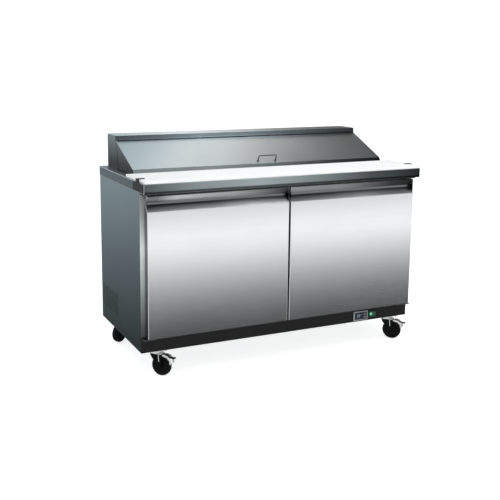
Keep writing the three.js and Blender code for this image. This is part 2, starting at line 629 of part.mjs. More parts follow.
function switchHousing() {
  const halfW = SWITCH.width / 2;
  const halfH = SWITCH.height / 2;
  const rim = block(SWITCH.x - halfW, SWITCH.x + halfW, BODY.front - 4, BODY.front - GAP,
    SWITCH.z - halfH, SWITCH.z + halfH);
  const barrel = block(SWITCH.x - halfW + 2.5, SWITCH.x + halfW - 2.5, BODY.front - 1, BODY.front + 22,
    SWITCH.z - halfH + 2.5, SWITCH.z + halfH - 2.5);
  const well = block(SWITCH.x - halfW + 4, SWITCH.x + halfW - 4, BODY.front - REACH, BODY.front + 16,
    SWITCH.z - halfH + 4, SWITCH.z + halfH - 4);
  return cut(union([rim, barrel]), [well]);
}
part('switch_housing', switchHousing(), blackPlastic());

// Rocker: a shallow V about an upright pin behind its middle, at rest with its left end pressed in.
const ROCKER = { halfW: 19, halfH: 13.4, endY: -9.5, midY: -6.5, sideY: 0, backY: 5, backHalfW: 4,
  pinY: BODY.front + 2, restAngle: THREE.MathUtils.degToRad(-6) };

function rocker() {
  const { halfW, halfH, endY, midY, sideY, backY, backHalfW, pinY, restAngle } = ROCKER;
  const section = [[-halfW, endY], [0, midY], [halfW, endY], [halfW, sideY], [backHalfW, backY],
    [-backHalfW, backY], [-halfW, sideY]];
  const tilted = section.map(([x, y]) => [
    SWITCH.x + x * Math.cos(restAngle) - y * Math.sin(restAngle),
    pinY + x * Math.sin(restAngle) + y * Math.cos(restAngle),
  ]);
  return prismZ(tilted, SWITCH.z - halfH, SWITCH.z + halfH);
}
part('rocker_switch', rocker(), finish(0x1e7a4a, 0.3, 0));

// ---------- casters ----------
const MOUNT_TOP = BODY.bottom - GAP;
const FORK_TOP = 112;
const PEDAL_PIVOT = { x: 44, z: 106 };

function casterMount() {
  const plate = block(-47, 47, -40, 40, MOUNT_TOP - 4, MOUNT_TOP);
  const raceway = rod('z', FORK_TOP + GAP, MOUNT_TOP - 3, [0, 0], 27, 20);
  return union([plate, raceway]);
}

// Fork, in its own frame: the swivel axis is Z, and the wheel rolls along X with its axle on Y.
function casterFork() {
  const { trail, wheelR, wheelW } = CASTER;
  const legIn = wheelW / 2 + 3;
  const legOut = legIn + 3;
  const side = [[-26, FORK_TOP - 4], [-20, 96], [trail - 11, wheelR - 8], [trail, wheelR - 13],
    [trail + 11, wheelR - 8], [trail + 9, 84], [trail + 6, FORK_TOP - 4]];
  const legs = [prismY(side, legIn, legOut), prismY(side, -legOut, -legIn)];
  const crown = prismZ([[-26, -legOut], [trail + 6, -legOut], [trail + 6, legOut], [-26, legOut]],
    FORK_TOP - 5, FORK_TOP);
  const axle = rod('y', -legOut - 3, legOut + 3, [trail, wheelR], 4);
  return union([...legs, crown, axle]);
}

function casterWheel() {
  const half = CASTER.wheelW / 2;
  const profile = [[4.4, -half + 1], [14, -half], [17, -half + 4], [38, -half + 4], [41, -half],
    [47, -half + 1.5], [50, -half + 6], [50, half - 6], [47, half - 1.5], [41, half], [38, half - 4],
    [17, half - 4], [14, half], [4.4, half - 1], [4.4, -half + 1]];
  const wheel = new THREE.LatheGeometry(profile.map(([r, h]) => new THREE.Vector2(r, h)), 20);
  wheel.translate(CASTER.trail, 0, CASTER.wheelR);
  return solid(wheel);
}

// Brake pedal: a narrow foot bar ahead of the fork and below its pivot, with a root between the legs.
function brakePedal() {
  const { x, z } = PEDAL_PIVOT;
  const bar = prismY([[x + 18, z - 12.5], [x + 58, z - 12.5], [x + 61, z - 9], [x + 55, z - 8], [x + 18, z - 9]],
    -11, 11);
  const root = prismY([[x - 3, z - 3.5], [x + 3, z - 3.5], [x + 20, z - 12.5], [x + 24, z - 9], [x + 3, z + 1],
    [x - 3, z + 1]], -14, 14);
  return union([bar, root]);
}

const CASTERS = [
  ['front_left', -CASTER.x, CASTER.frontY, CASTER_HEADING.front],
  ['front_right', CASTER.x, CASTER.frontY, CASTER_HEADING.front],
  ['rear_left', -CASTER.x, CASTER.rearY, CASTER_HEADING.rear],
  ['rear_right', CASTER.x, CASTER.rearY, CASTER_HEADING.rear],
];
for (const [place, x, y, heading] of CASTERS) {
  const fixed = new THREE.Group();
  fixed.position.set(x, y, 0);
  table.add(fixed);
  part(`caster_mount_${place}`, casterMount(), zinc(), fixed);

  const swivel = new THREE.Group();
  swivel.position.set(x, y, 0);
  swivel.rotation.z = THREE.MathUtils.degToRad(heading);
  table.add(swivel);
  part(`caster_fork_${place}`, casterFork(), zinc(), swivel);
  part(`caster_wheel_${place}`, casterWheel(), blackRubber(), swivel);
  if (place.startsWith('front')) {
    part(`brake_pedal_${place}`, brakePedal(), blackPlastic(), swivel);
  }
}

export default table;
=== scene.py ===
# Looks of a two-door refrigerated sandwich prep table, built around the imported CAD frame.
# Metres, in the CAD's own frame: X to the right seen from the front, -Y the front, Z up.
import math

import bmesh
import bpy
from mathutils import Matrix, Vector


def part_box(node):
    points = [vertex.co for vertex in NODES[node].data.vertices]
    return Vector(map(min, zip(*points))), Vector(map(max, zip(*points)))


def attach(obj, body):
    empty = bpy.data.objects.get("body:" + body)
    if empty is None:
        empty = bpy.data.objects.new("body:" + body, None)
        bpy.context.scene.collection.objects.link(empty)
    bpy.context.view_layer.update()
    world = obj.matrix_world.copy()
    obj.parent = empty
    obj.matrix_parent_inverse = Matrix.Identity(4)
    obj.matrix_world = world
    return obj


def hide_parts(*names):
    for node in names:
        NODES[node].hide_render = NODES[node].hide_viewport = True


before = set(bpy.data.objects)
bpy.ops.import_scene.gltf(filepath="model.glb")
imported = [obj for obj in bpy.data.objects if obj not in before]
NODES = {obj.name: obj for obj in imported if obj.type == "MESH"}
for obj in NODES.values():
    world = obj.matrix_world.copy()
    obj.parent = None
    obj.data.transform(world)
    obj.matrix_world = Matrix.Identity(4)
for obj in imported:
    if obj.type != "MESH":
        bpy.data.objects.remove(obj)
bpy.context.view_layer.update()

MM = 0.001
scene = bpy.context.scene


# ------------------------------------------------------------------ camera
PHOTO_PX = 500                      # the photograph is square
SENSOR_MM = 36
CAMERA_AT = (-1.95412, -3.83539, 1.50645)


def make_camera():
    """The camera that was fitted to the photograph; focal length and centre are in its pixels."""
    azimuth, pitch, roll = math.radians(24.849), math.radians(9.769), math.radians(0.373)
    focal, centre_x, centre_y = 822.335, 228.712, 201.204
    forward = Vector((math.sin(azimuth) * math.cos(pitch), math.cos(azimuth) * math.cos(pitch),
                      -math.sin(pitch)))
    right = forward.cross(Vector((0, 0, 1))).normalized()
    up = right.cross(forward)
    right, up = (right * math.cos(roll) + up * math.sin(roll),
                 up * math.cos(roll) - right * math.sin(roll))
    data = bpy.data.cameras.new("camera")
    data.sensor_width = SENSOR_MM
    data.lens = focal * SENSOR_MM / PHOTO_PX
    data.shift_x = (PHOTO_PX / 2 - centre_x) / PHOTO_PX
    data.shift_y = (centre_y - PHOTO_PX / 2) / PHOTO_PX
    data.clip_start, data.clip_end = 0.05, 100
    camera = bpy.data.objects.new("camera", data)
    scene.collection.objects.link(camera)
    turn = Matrix((right, up, -forward)).transposed()
    camera.matrix_world = Matrix.Translation(CAMERA_AT) @ turn.to_4x4()
    scene.camera = camera


make_camera()


# ------------------------------------------------------------------ materials
class Nodes:
    """A node tree, filled by calls that each return a node or its output."""

    def __init__(self, tree):
        self.tree = tree
        tree.nodes.clear()

    def add(self, kind, *inputs, **properties):
        node = self.tree.nodes.new(kind)
        for key, value in properties.items():
            setattr(node, key, value)
        for socket, value in zip(node.inputs, inputs):
            self.plug(socket, value)
        return node

    def plug(self, socket, value):
        """Gives an input a number, a vector, a colour or another node's output."""
        if isinstance(value, bpy.types.NodeSocket):
            self.tree.links.new(value, socket)
        else:
            socket.default_value = (*value, 1) if socket.type == "RGBA" else value

    def math(self, operation, *inputs):
        return self.add("ShaderNodeMath", *inputs, operation=operation).outputs[0]

    def mix(self, factor, first, second, blend="MIX"):
        return self.add("ShaderNodeMixRGB", factor, first, second, blend_type=blend).outputs[0]

    def remap(self, value, low, high, to_low=0.0, to_high=1.0):
        return self.add("ShaderNodeMapRange", value, low, high, to_low, to_high).outputs[0]

    def ramp(self, value, stops, low, high):
        """Level or colour that follows a value; stops are (value, level or colour), from low to high."""
        node = self.add("ShaderNodeValToRGB", self.remap(value, low, high))
        elements = node.color_ramp.elements
        while len(elements) < len(stops):
            elements.new(0.5)
        for element, (place, level) in zip(elements, stops):
            element.position = (place - low) / (high - low)
            element.color = (*level, 1) if isinstance(level, tuple) else (level, level, level, 1)
        return node.outputs[0]


class Look(Nodes):
    """One procedural material: a Principled shader with texture nodes behind it."""

    def __init__(self, name, colour, rough, metal=0.0, **sockets):
        self.material = bpy.data.materials.new(name)
        self.material.use_nodes = True
        super().__init__(self.material.node_tree)
        self.shader = self.add("ShaderNodeBsdfPrincipled")
        self.add("ShaderNodeOutputMaterial", self.shader.outputs[0])
        self.coords = self.add("ShaderNodeTexCoord").outputs["Object"]
        self.feed(Base_Color=colour, Roughness=rough, Metallic=metal, **sockets)

    def feed(self, **sockets):
        for socket, value in sockets.items():
            self.plug(self.shader.inputs[socket.replace("_", " ")], value)

    def stretched(self, scale):
        mapping = self.add("ShaderNodeMapping", self.coords)
        mapping.inputs["Scale"].default_value = scale
        return mapping.outputs[0]

    def noise(self, scale, detail=2.0, roughness=0.5, distortion=0.0):
        node = self.add("ShaderNodeTexNoise", self.stretched(scale))
        for socket, value in (("Scale", 1.0), ("Detail", detail), ("Roughness", roughness),
                              ("Distortion", distortion)):
            node.inputs[socket].default_value = value
        return node.outputs[0]

    def cells(self, scale, output="Color"):
        node = self.add("ShaderNodeTexVoronoi", self.stretched(scale))
        node.inputs["Scale"].default_value = 1.0
        return node.outputs[output]

    def along(self, axis, stops):
        """Level that changes along one axis of the object; stops are (metres, level)."""
        place = self.add("ShaderNodeSeparateXYZ", self.coords).outputs["XYZ".index(axis)]
        return self.ramp(place, stops, stops[0][0], stops[-1][0])

    def bump(self, height, strength, distance, below=None):
        node = self.add("ShaderNodeBump")
        for socket, value in (("Strength", strength), ("Distance", distance), ("Height", height),
                              ("Normal", below)):
            if value is not None:
                self.plug(node.inputs[socket], value)
        return node.outputs[0]


def times(colour, factor):
    return tuple(channel * factor for channel in colour)


# Grain direction -> how the noise is stretched, and a direction across the grain.
GRAIN = {
    "x": ((9, 620, 620), (1.1, 75, 75), (0.02, 0.35, 1)),
    "y": ((620, 9, 620), (75, 1.1, 75), (1, 0.02, 0.35)),
    "z": ((620, 620, 9), (75, 75, 1.1), (1, 0.35, 0.02)),
}


def brushed(name, grain, colour=(0.60, 0.625, 0.64), rough=0.27, streak=0.05, anisotropy=0.45, metal=1.0,
            painted_light=(), relief=0.04, wear=1.0):
    """Brushed steel; the ramps given as ((axis, stops), ...) darken or brighten it along an axis: painted reflection
    and painted shade.
    """
    look = Look(name, colour, rough, metal, Anisotropic=anisotropy)
    fine_scale, broad_scale, across = GRAIN[grain]
    fine = look.noise(fine_scale, 3, 0.6)
    broad = look.noise(broad_scale, 2, 0.5)
    cloud = look.noise((2.3, 2.3, 2.3), 3, 0.55, 0.6)
    tone = look.math("ADD", look.remap(fine, 0.3, 0.7, 0, 0.7), look.remap(broad, 0.3, 0.7, 0, 0.3))
    shade = look.mix(tone, times(colour, 1 - streak), times(colour, 1 + streak * 0.5))
    # each ramp multiplies the colour: painted reflection and painted shade along the sheet
    for axis, stops in painted_light:
        shade = look.mix(1.0, shade, look.along(axis, stops), "MULTIPLY")
    look.feed(Base_Color=shade)
    worn = look.math("ADD", look.remap(fine, 0.3, 0.7, rough - 0.03 * wear, rough + 0.04 * wear),
                     look.remap(cloud, 0.35, 0.75, 0, 0.04 * wear))
    look.feed(Roughness=worn)
    look.feed(Normal=look.bump(fine, relief, 0.0002))
    direction = look.add("ShaderNodeCombineXYZ", *across).outputs[0]
    look.feed(Tangent=look.add("ShaderNodeVectorTransform", direction, vector_type="VECTOR",
                               convert_from="OBJECT", convert_to="WORLD").outputs[0])
    return look.material


def painted(name, colour, rough, metal=0.0, speckle=0.12, grain=900, bump=0.15, coat=0.0, shine=0.5):
    """Coated sheet or moulded plastic: fine orange peel, dust in the hollows, slight sheen changes."""
    look = Look(name, colour, rough, metal, Coat_Weight=coat, Coat_Roughness=0.12, Specular_IOR_Level=shine)
    peel = look.noise((grain,) * 3, 2, 0.5)
    cloud = look.noise((7, 7, 7), 4, 0.6, 0.4)
    look.feed(Base_Color=look.mix(look.remap(cloud, 0.3, 0.7), times(colour, 1 - speckle),
                                     times(colour, 1 + speckle)))
    look.feed(Roughness=look.remap(cloud, 0.3, 0.7, rough - 0.05, rough + 0.08))
    look.feed(Normal=look.bump(peel, bump, 0.0003))
    return look.material


def zinc_plated(name, colour=(0.66, 0.68, 0.70), rough=0.3, metal=1.0):
    look = Look(name, colour, rough, metal)
    cloud = look.noise((38, 38, 38), 4, 0.65, 1.2)
    fine = look.noise((1100, 1100, 1100), 2, 0.5)
    look.feed(Base_Color=look.mix(look.remap(cloud, 0.35, 0.65), times(colour, 0.8),
                                     (colour[0] * 1.04, colour[1] * 1.03, colour[2] * 0.98)))
    look.feed(Roughness=look.remap(cloud, 0.3, 0.7, rough - 0.06, rough + 0.14))
    look.feed(Normal=look.bump(fine, 0.08, 0.0002))
    return look.material


def galvanised_sheet(name):
    """Hot-dipped sheet: dull grey with the zinc's crystal spangle."""
    colour = (0.46, 0.48, 0.495)
    look = Look(name, colour, 0.45, 0.9)
    shade = look.add("ShaderNodeRGBToBW", look.cells((95, 95, 95))).outputs[0]
    cloud = look.noise((9, 9, 9), 3, 0.6)
    look.feed(Base_Color=look.mix(shade, times(colour, 0.82), times(colour, 1.16)))
    look.feed(Roughness=look.math("ADD", look.remap(shade, 0, 1, 0.34, 0.5),
                                     look.remap(cloud, 0.3, 0.7, 0, 0.1)))
    look.feed(Normal=look.bump(shade, 0.05, 0.0004))
    return look.material


def cutting_board_plastic(name):
    """Milled polyethylene: fine matt texture, a few faint knife strokes, a little light inside."""
    colour = (0.86, 0.87, 0.86)
    look = Look(name, colour, 0.5, 0.0, Subsurface_Weight=0.08, Subsurface_Scale=0.004)
    look.feed(Subsurface_Radius=(1.0, 0.95, 0.85))
    matt = look.noise((1400, 1400, 1400), 2, 0.6)
    strokes = look.noise((30, 900, 900), 1, 0.4, 0.5)
    crossing = look.noise((700, 45, 900), 1, 0.4, 0.5)
    cut = look.math("MAXIMUM", look.remap(strokes, 0.66, 0.74), look.remap(crossing, 0.68, 0.76))
    cloud = look.noise((4, 4, 4), 3, 0.5)
    base = look.mix(look.remap(cloud, 0.3, 0.7), times(colour, 0.975), times(colour, 1.02))
    look.feed(Base_Color=look.mix(look.math("MULTIPLY", cut, 0.25), base, times(colour, 0.86)))
    look.feed(Roughness=look.remap(matt, 0.3, 0.7, 0.42, 0.6))
    look.feed(Normal=look.bump(cut, -0.12, 0.0002, look.bump(matt, 0.1, 0.0002)))
    return look.material


def tyre_rubber(name, colour):
    rough = 0.55
    look = Look(name, colour, rough, 0.0, Sheen_Weight=0.01, Sheen_Roughness=0.4, Specular_IOR_Level=0.12)
    scuff = look.noise((60, 60, 60), 5, 0.7, 0.8)
    fine = look.noise((900, 900, 900), 2, 0.5)
    look.feed(Base_Color=look.mix(look.remap(scuff, 0.5, 0.72), colour, (0.016, 0.0155, 0.015)))
    look.feed(Roughness=look.remap(scuff, 0.3, 0.7, rough - 0.1, rough + 0.2))
    look.feed(Normal=look.bump(scuff, 0.12, 0.0006, look.bump(fine, 0.15, 0.0002)))
    return look.material


def foam_plastic(name):
    colour = (0.6, 0.6, 0.56)
    look = Look(name, colour, 0.85)
    cell = look.cells((500, 500, 500), "Distance")
    look.feed(Base_Color=look.mix(look.remap(cell, 0, 0.7), times(colour, 0.7), colour))
    look.feed(Normal=look.bump(cell, 0.4, 0.0008))
    return look.material


def finned(name):
    """Condenser core: closely set aluminium fins, drawn as fine upright lines with some dust."""
    colour = (0.42, 0.44, 0.45)
    look = Look(name, colour, 0.4, 0.9)
    wave = look.add("ShaderNodeTexWave", look.stretched((1, 1, 1)), 130, 0.0, wave_type="BANDS",
                    bands_direction="Y", wave_profile="SAW")
    dust = look.noise((25, 25, 25), 4, 0.6)
    shaded = look.mix(wave.outputs["Fac"], times(colour, 0.25), times(colour, 1.1))
    look.feed(Base_Color=look.mix(look.remap(dust, 0.5, 0.8, 0, 0.6), shaded, (0.2, 0.19, 0.17)))
    look.feed(Roughness=look.remap(dust, 0.4, 0.7, 0.35, 0.8))
    look.feed(Normal=look.bump(wave.outputs["Fac"], 0.5, 0.0012))
    return look.material


def lit_green(name):
    """Rocker of clear green plastic with a lamp behind its left end."""
    look = Look(name, (0.012, 0.12, 0.055), 0.18, 0.0, Coat_Weight=0.4, Coat_Roughness=0.08)
    cloud = look.noise((160, 160, 160), 2, 0.5)
    look.feed(Base_Color=look.mix(cloud, (0.004, 0.035, 0.016), (0.009, 0.075, 0.036)))
    lamp = (0.5335, -0.2965, 0.1635)
    away = look.add("ShaderNodeVectorMath", look.coords, lamp, operation="DISTANCE").outputs["Value"]
    glow = look.remap(away, 0.0035, 0.011, 1, 0)
    hot = look.mix(look.remap(away, 0.002, 0.0075), (0.75, 1.0, 0.85), (0.05, 0.6, 0.28))
    look.feed(Emission_Color=look.mix(glow, (0.0, 0.02, 0.01), hot))
    look.feed(Emission_Strength=0.9)
    look.feed(Normal=look.bump(cloud, 0.05, 0.0002))
    return look.material


def glowing(name, colour, strength):
    look = Look(name, times(colour, 0.3), 0.3)
    flicker = look.noise((900, 900, 900), 1, 0.5)
    look.feed(Emission_Color=look.mix(flicker, times(colour, 0.85), colour))
    look.feed(Emission_Strength=strength)
    return look.material


STEEL_X = brushed("stainless_grain_x", "x")
# Side panels: darker towards the bottom, a painted shade.
STEEL_SIDE = brushed("stainless_side", "z", colour=(0.51, 0.595, 0.62), rough=0.3, streak=0.03, painted_light=(
    ("Z", ((0.13, 0.68), (0.24, 0.82), (0.4, 0.95), (0.9, 1.0))),))
# Worktop's front band: a darker copy of the steel, with a ramp along X and a dark strip at its lower edge; painted
# reflection and painted shade.
STEEL_BAND = brushed("stainless_band", "x", colour=(0.43, 0.495, 0.51), rough=0.3, painted_light=(
    ("X", ((-0.77, 0.32), (-0.48, 0.9), (-0.18, 1.2), (0.15, 0.72), (0.45, 0.26), (0.77, 0.07))),
    ("Z", ((0.9, 0.2), (0.9125, 0.25), (0.9155, 1.0), (0.95, 1.0)))))
STEEL_DOOR = brushed("stainless_door", "x", colour=(0.665, 0.68, 0.69), rough=0.12, streak=0.02, anisotropy=0.2,
                     relief=0.015, wear=0.35)
# Door lips: ramp along X, dark at the outer ends and beside the middle gap; painted reflection and painted shade.
DOOR_LIP = brushed("stainless_door_lip", "x", colour=(0.64, 0.66, 0.67), rough=0.22, streak=0.03, painted_light=(
    ("X", ((-0.75, 0.25), (-0.69, 0.32), (-0.6, 0.95), (-0.3, 1.0), (-0.14, 0.55), (-0.01, 0.12),
           (0.01, 1.0), (0.3, 0.85), (0.47, 0.42), (0.6, 0.15), (0.75, 0.05))),))
# Door pulls' slopes: ramp along X; painted reflection and painted shade.
DOOR_PULL = brushed("stainless_door_pull", "x", colour=(0.6, 0.63, 0.635), rough=0.3, streak=0.03, painted_light=(
    ("X", ((-0.75, 0.25), (-0.4, 0.45), (-0.2, 0.85), (-0.01, 0.8), (0.01, 0.3), (0.25, 0.5), (0.45, 1.0),
           (0.75, 0.6))),))
# Hood's front band: a darker copy of the steel with a ramp along X; painted reflection and painted shade.
HOOD_BAND = brushed("stainless_hood_band", "x", colour=(0.43, 0.52, 0.57), rough=0.26, painted_light=(
    ("X", ((-0.75, 0.16), (-0.5, 0.3), (-0.25, 0.62), (0.0, 0.5), (0.3, 0.25), (0.75, 0.08))),))
# Worktop's ends: a dark copy of the steel, a painted shade.
STEEL_END = brushed("stainless_worktop_end", "y", colour=(0.225, 0.26, 0.27), rough=0.34)
# Worktop's top: darker towards its left end, a painted shade.
WORKTOP_TOP = brushed("stainless_worktop", "x", painted_light=(("X", ((-0.77, 0.5), (-0.55, 0.85), (-0.3, 1.0))),))
# Hood's top: a light copy of the steel, darker towards the right; painted reflection and painted shade.
STEEL_TOP = brushed("stainless_hood_top", "x", colour=(0.9, 0.93, 0.95), rough=0.24, painted_light=(
    ("X", ((-0.72, 1.0), (-0.35, 0.85), (-0.1, 0.62), (0.3, 0.45), (0.72, 0.35))),))
# Left ends of hood and lid: strong upright streaks and a fall to near black at the bottom; painted reflection and
# painted shade.
HOOD_SIDE = brushed("stainless_hood_side", "z", colour=(0.46, 0.485, 0.5), rough=0.34, streak=0.16, painted_light=(
    ("Z", ((0.95, 0.04), (0.985, 0.13), (1.05, 0.52), (1.12, 1.0))),))
HOOD_END = brushed("stainless_hood_end", "z", colour=(0.5, 0.52, 0.535), rough=0.32)
STEEL_LID = brushed("stainless_lid", "x", colour=(0.60, 0.635, 0.65), rough=0.2, streak=0.02, relief=0.008)
# Face frame: a light copy of the steel, mostly unmetallic, with a ramp up its height; painted light and painted
# shade.
STEEL_FRAME = brushed("stainless_frame", "z", colour=(0.85, 0.9, 0.92), rough=0.4, metal=0.2, painted_light=(
    ("Z", ((0.2, 0.1), (0.26, 0.15), (0.4, 0.44), (0.64, 1.25), (0.79, 0.55), (0.9, 0.36))),))
# Door edges, undersides and the hollow of the pull: a dark copy of the steel, a painted shade.
STEEL_DOOR_EDGE = brushed("stainless_door_edge", "z", colour=(0.22, 0.235, 0.24), rough=0.3)
# Rounded rims: a light, half-metallic copy of the steel, a painted highlight.
STEEL_FOLD = brushed("stainless_fold", "z", colour=(0.88, 0.91, 0.92), rough=0.32, metal=0.45)
# Side panels' front folds: darker towards the bottom, a painted shade.
STEEL_CORNER = brushed("stainless_corner", "z", colour=(0.62, 0.66, 0.67), rough=0.35, metal=0.5, painted_light=(
    ("Z", ((0.13, 0.3), (0.3, 0.45), (0.6, 0.9), (0.9, 0.8))),))
# Louvre blades: near-black steel, a painted shade in the vents.
STEEL_LOUVRE = brushed("stainless_louvre", "y", colour=(0.045, 0.055, 0.055), rough=0.4)
# Lid's front lip: a dark copy of the steel with a ramp along X; painted shade and painted reflection.
LID_LIP = brushed("stainless_lid_lip", "x", colour=(0.115, 0.13, 0.132), rough=0.34, painted_light=(
    ("X", ((-0.72, 0.75), (-0.3, 1.0), (0.1, 0.7), (0.45, 0.3), (0.72, 0.12))),))
STEEL_LINER = brushed("stainless_liner", "z", colour=(0.62, 0.64, 0.65), rough=0.36)
STEEL_PAN = brushed("stainless_pan", "x", colour=(0.66, 0.67, 0.68), rough=0.2, streak=0.05)
DARK_SHEET = painted("dark_coated_sheet", (0.011, 0.011, 0.0115), 0.42, 0.2, grain=700, shine=0.3)
GALVANISED = galvanised_sheet("galvanised_sheet")
ZINC = zinc_plated("zinc_plate")
HANDLE_WIRE = zinc_plated("handle_wire", (0.09, 0.09, 0.095), 0.35)
BRACKET_METAL = zinc_plated("bracket_zinc", (0.17, 0.175, 0.18), 0.4)
# Caster forks: near-black zinc, a painted shade under the cabinet.
FORK_METAL = zinc_plated("fork_zinc", (0.022, 0.023, 0.024), 0.35)
# Caster plates, fork crowns and brake arms: a light, mostly unmetallic copy of the zinc, a painted reflection.
RACE_METAL = zinc_plated("race_zinc", (0.84, 0.855, 0.87), 0.3, 0.3)
BOARD_WHITE = cutting_board_plastic("board_polyethylene")
BLACK_PLASTIC = painted("black_moulding", (0.012, 0.012, 0.013), 0.38)
WHITE_PLASTIC = painted("white_formed_plastic", (0.74, 0.755, 0.76), 0.35, speckle=0.02, bump=0.05, coat=0.2)
GASKET_GREY = painted("gasket_rubber", (0.075, 0.08, 0.084), 0.6, grain=1200)
TYRE = tyre_rubber("caster_tyre", (0.004, 0.0042, 0.0044))
HUB_GREY = painted("caster_hub", (0.006, 0.006, 0.0065), 0.5, shine=0.15)
FOAM = foam_plastic("foam")
COMPRESSOR_BLACK = painted("black_enamel", (0.015, 0.015, 0.017), 0.25, coat=0.5)
FINS = finned("condenser_fins")
CONTROL_GREY = painted("controller_moulding", (0.33, 0.36, 0.385), 0.35, speckle=0.05, bump=0.06)
CONTROL_PANEL = painted("controller_overlay", (0.035, 0.042, 0.055), 0.3, speckle=0.1, bump=0.03)
DISPLAY_DARK = painted("display_glass", (0.01, 0.014, 0.02), 0.1, speckle=0.2, bump=0.01, coat=0.6)
BUTTON_GREY = painted("button_moulding", (0.12, 0.13, 0.15), 0.42)
COPPER = zinc_plated("copper_tube", (0.72, 0.36, 0.22), 0.28)
LAMP_GREEN = lit_green("lit_green_plastic")
DIGIT_LIGHT = glowing("display_digits", (0.5, 0.7, 0.95), 0.32)


# ------------------------------------------------------------------ mesh building, in millimetres
def extent(node):
    """Lowest and highest corner of a CAD node, in millimetres."""
    low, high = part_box(node)
    return low / MM, high / MM


def make(name, mesh, body, look, replaces=(), sharp=40, place=None, weighted=True):
    """Turns a bmesh drawn in millimetres into a named piece that rides on a CAD body."""
    if place is not None:
        mesh.transform(place)
    bmesh.ops.scale(mesh, vec=(MM, MM, MM), verts=mesh.verts)
    limit = math.radians(sharp)
    for face in mesh.faces:
        face.smooth = True
    for edge in mesh.edges:
        edge.smooth = len(edge.link_faces) != 2 or edge.calc_face_angle(0) < limit
    data = bpy.data.meshes.new(name)
    mesh.to_mesh(data)
    mesh.free()
    for material in look if isinstance(look, (list, tuple)) else [look]:
        data.materials.append(material)
    piece = bpy.data.objects.new(name, data)
    scene.collection.objects.link(piece)
    if weighted:
        normals = piece.modifiers.new("weighted_normals", "WEIGHTED_NORMAL")
        normals.keep_sharp = True
    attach(piece, body)
    if replaces:
        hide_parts(*replaces)
    return piece


def stitch(mesh, rings):
    """Faces between each ring of points and the next."""
    for first, second in zip(rings, rings[1:]):
        count = len(first)
        for k in range(count):
            mesh.faces.new((first[k], first[(k + 1) % count], second[(k + 1) % count], second[k]))


def flip_if(mesh, face, wrong):
    """Turns the whole mesh inside out where wrong(normal) says that a face looks the wrong way."""
    if wrong(face.normal):
        bmesh.ops.reverse_faces(mesh, faces=mesh.faces)


def round_edges(mesh, edges, radius, segments=3):
    bmesh.ops.bevel(mesh, geom=edges, offset=radius, offset_type="OFFSET", segments=segments,
                    profile=0.5, affect="EDGES", clamp_overlap=True)


def rounded_box(low, high, radius, segments=3):
    target = bmesh.new()
    made = bmesh.ops.create_cube(target, size=1)["verts"]
    for vert in made:
        vert.co = Vector([l if c < 0 else h for c, l, h in zip(vert.co, low, high)])
    edges = {edge for vert in made for edge in vert.link_edges}
    round_edges(target, list(edges), radius, segments)
    return target


def filleted(points, radii, steps=4):
    """The outline with its corners rounded; radii is one number, or one for each corner."""
    if isinstance(radii, (int, float)):
        radii = [radii] * len(points)
    result = []
    for index, radius in enumerate(radii):
        here = Vector(points[index])
        before = Vector(points[index - 1]) - here
        after = Vector(points[(index + 1) % len(points)]) - here
        half = before.angle(after) / 2
        if radius <= 0 or half > 1.55:
            result.append(tuple(here))
            continue
        back = min(radius / math.tan(half), before.length * 0.49, after.length * 0.49)
        real = back * math.tan(half)
        centre = here + (before.normalized() + after.normalized()).normalized() * (real / math.sin(half))
        start = here + before.normalized() * back - centre
        finish = here + after.normalized() * back - centre
        sweep = start.angle(finish)
        turn = 1 if start.x * finish.y - start.y * finish.x > 0 else -1
        for step in range(steps + 1):
            angle = turn * sweep * step / steps
            result.append((centre.x + start.x * math.cos(angle) - start.y * math.sin(angle),
                           centre.y + start.x * math.sin(angle) + start.y * math.cos(angle)))
    return result


def circle(count):
    """Cosine and sine of evenly spaced angles."""
    return [(math.cos(2 * math.pi * k / count), math.sin(2 * math.pi * k / count)) for k in range(count)]


def cylinder(radius, start, end):
    """Profile of a solid cylinder, for turned()."""
    return [(0, start), (radius, start), (radius, end), (0, end)]


AXES = {"x": lambda a, b, t: (t, a, b), "y": lambda a, b, t: (a, t, b), "z": lambda a, b, t: (a, b, t)}


def prism(outline, axis, start, end, rim=0.5, segments=2, mesh=None):
    """An outline pushed along an axis, its two rims rounded."""
    target = mesh or bmesh.new()
    to_point = AXES[axis]
    ends = [[target.verts.new(to_point(a, b, t)) for a, b in outline] for t in (start, end)]
    caps = [target.faces.new(ends[0][::-1]), target.faces.new(ends[1])]
    stitch(target, ends)
    if rim > 0:
        edges = list({edge for cap in caps for edge in cap.edges})
        round_edges(target, edges, rim, segments)
    bmesh.ops.recalc_face_normals(target, faces=[f for f in target.faces if f.is_valid])
    return target


SHEET = 1.2                         # thickness of most of the folded sheets


def thicken(piece, thickness):
    """Gives a sheet piece its thickness, inwards from the drawn face."""
    solidify = piece.modifiers.new("sheet", "SOLIDIFY")
    solidify.thickness = thickness * MM
    solidify.offset = -1
    solidify.use_even_offset = True
    piece.modifiers.move(len(piece.modifiers) - 1, 0)


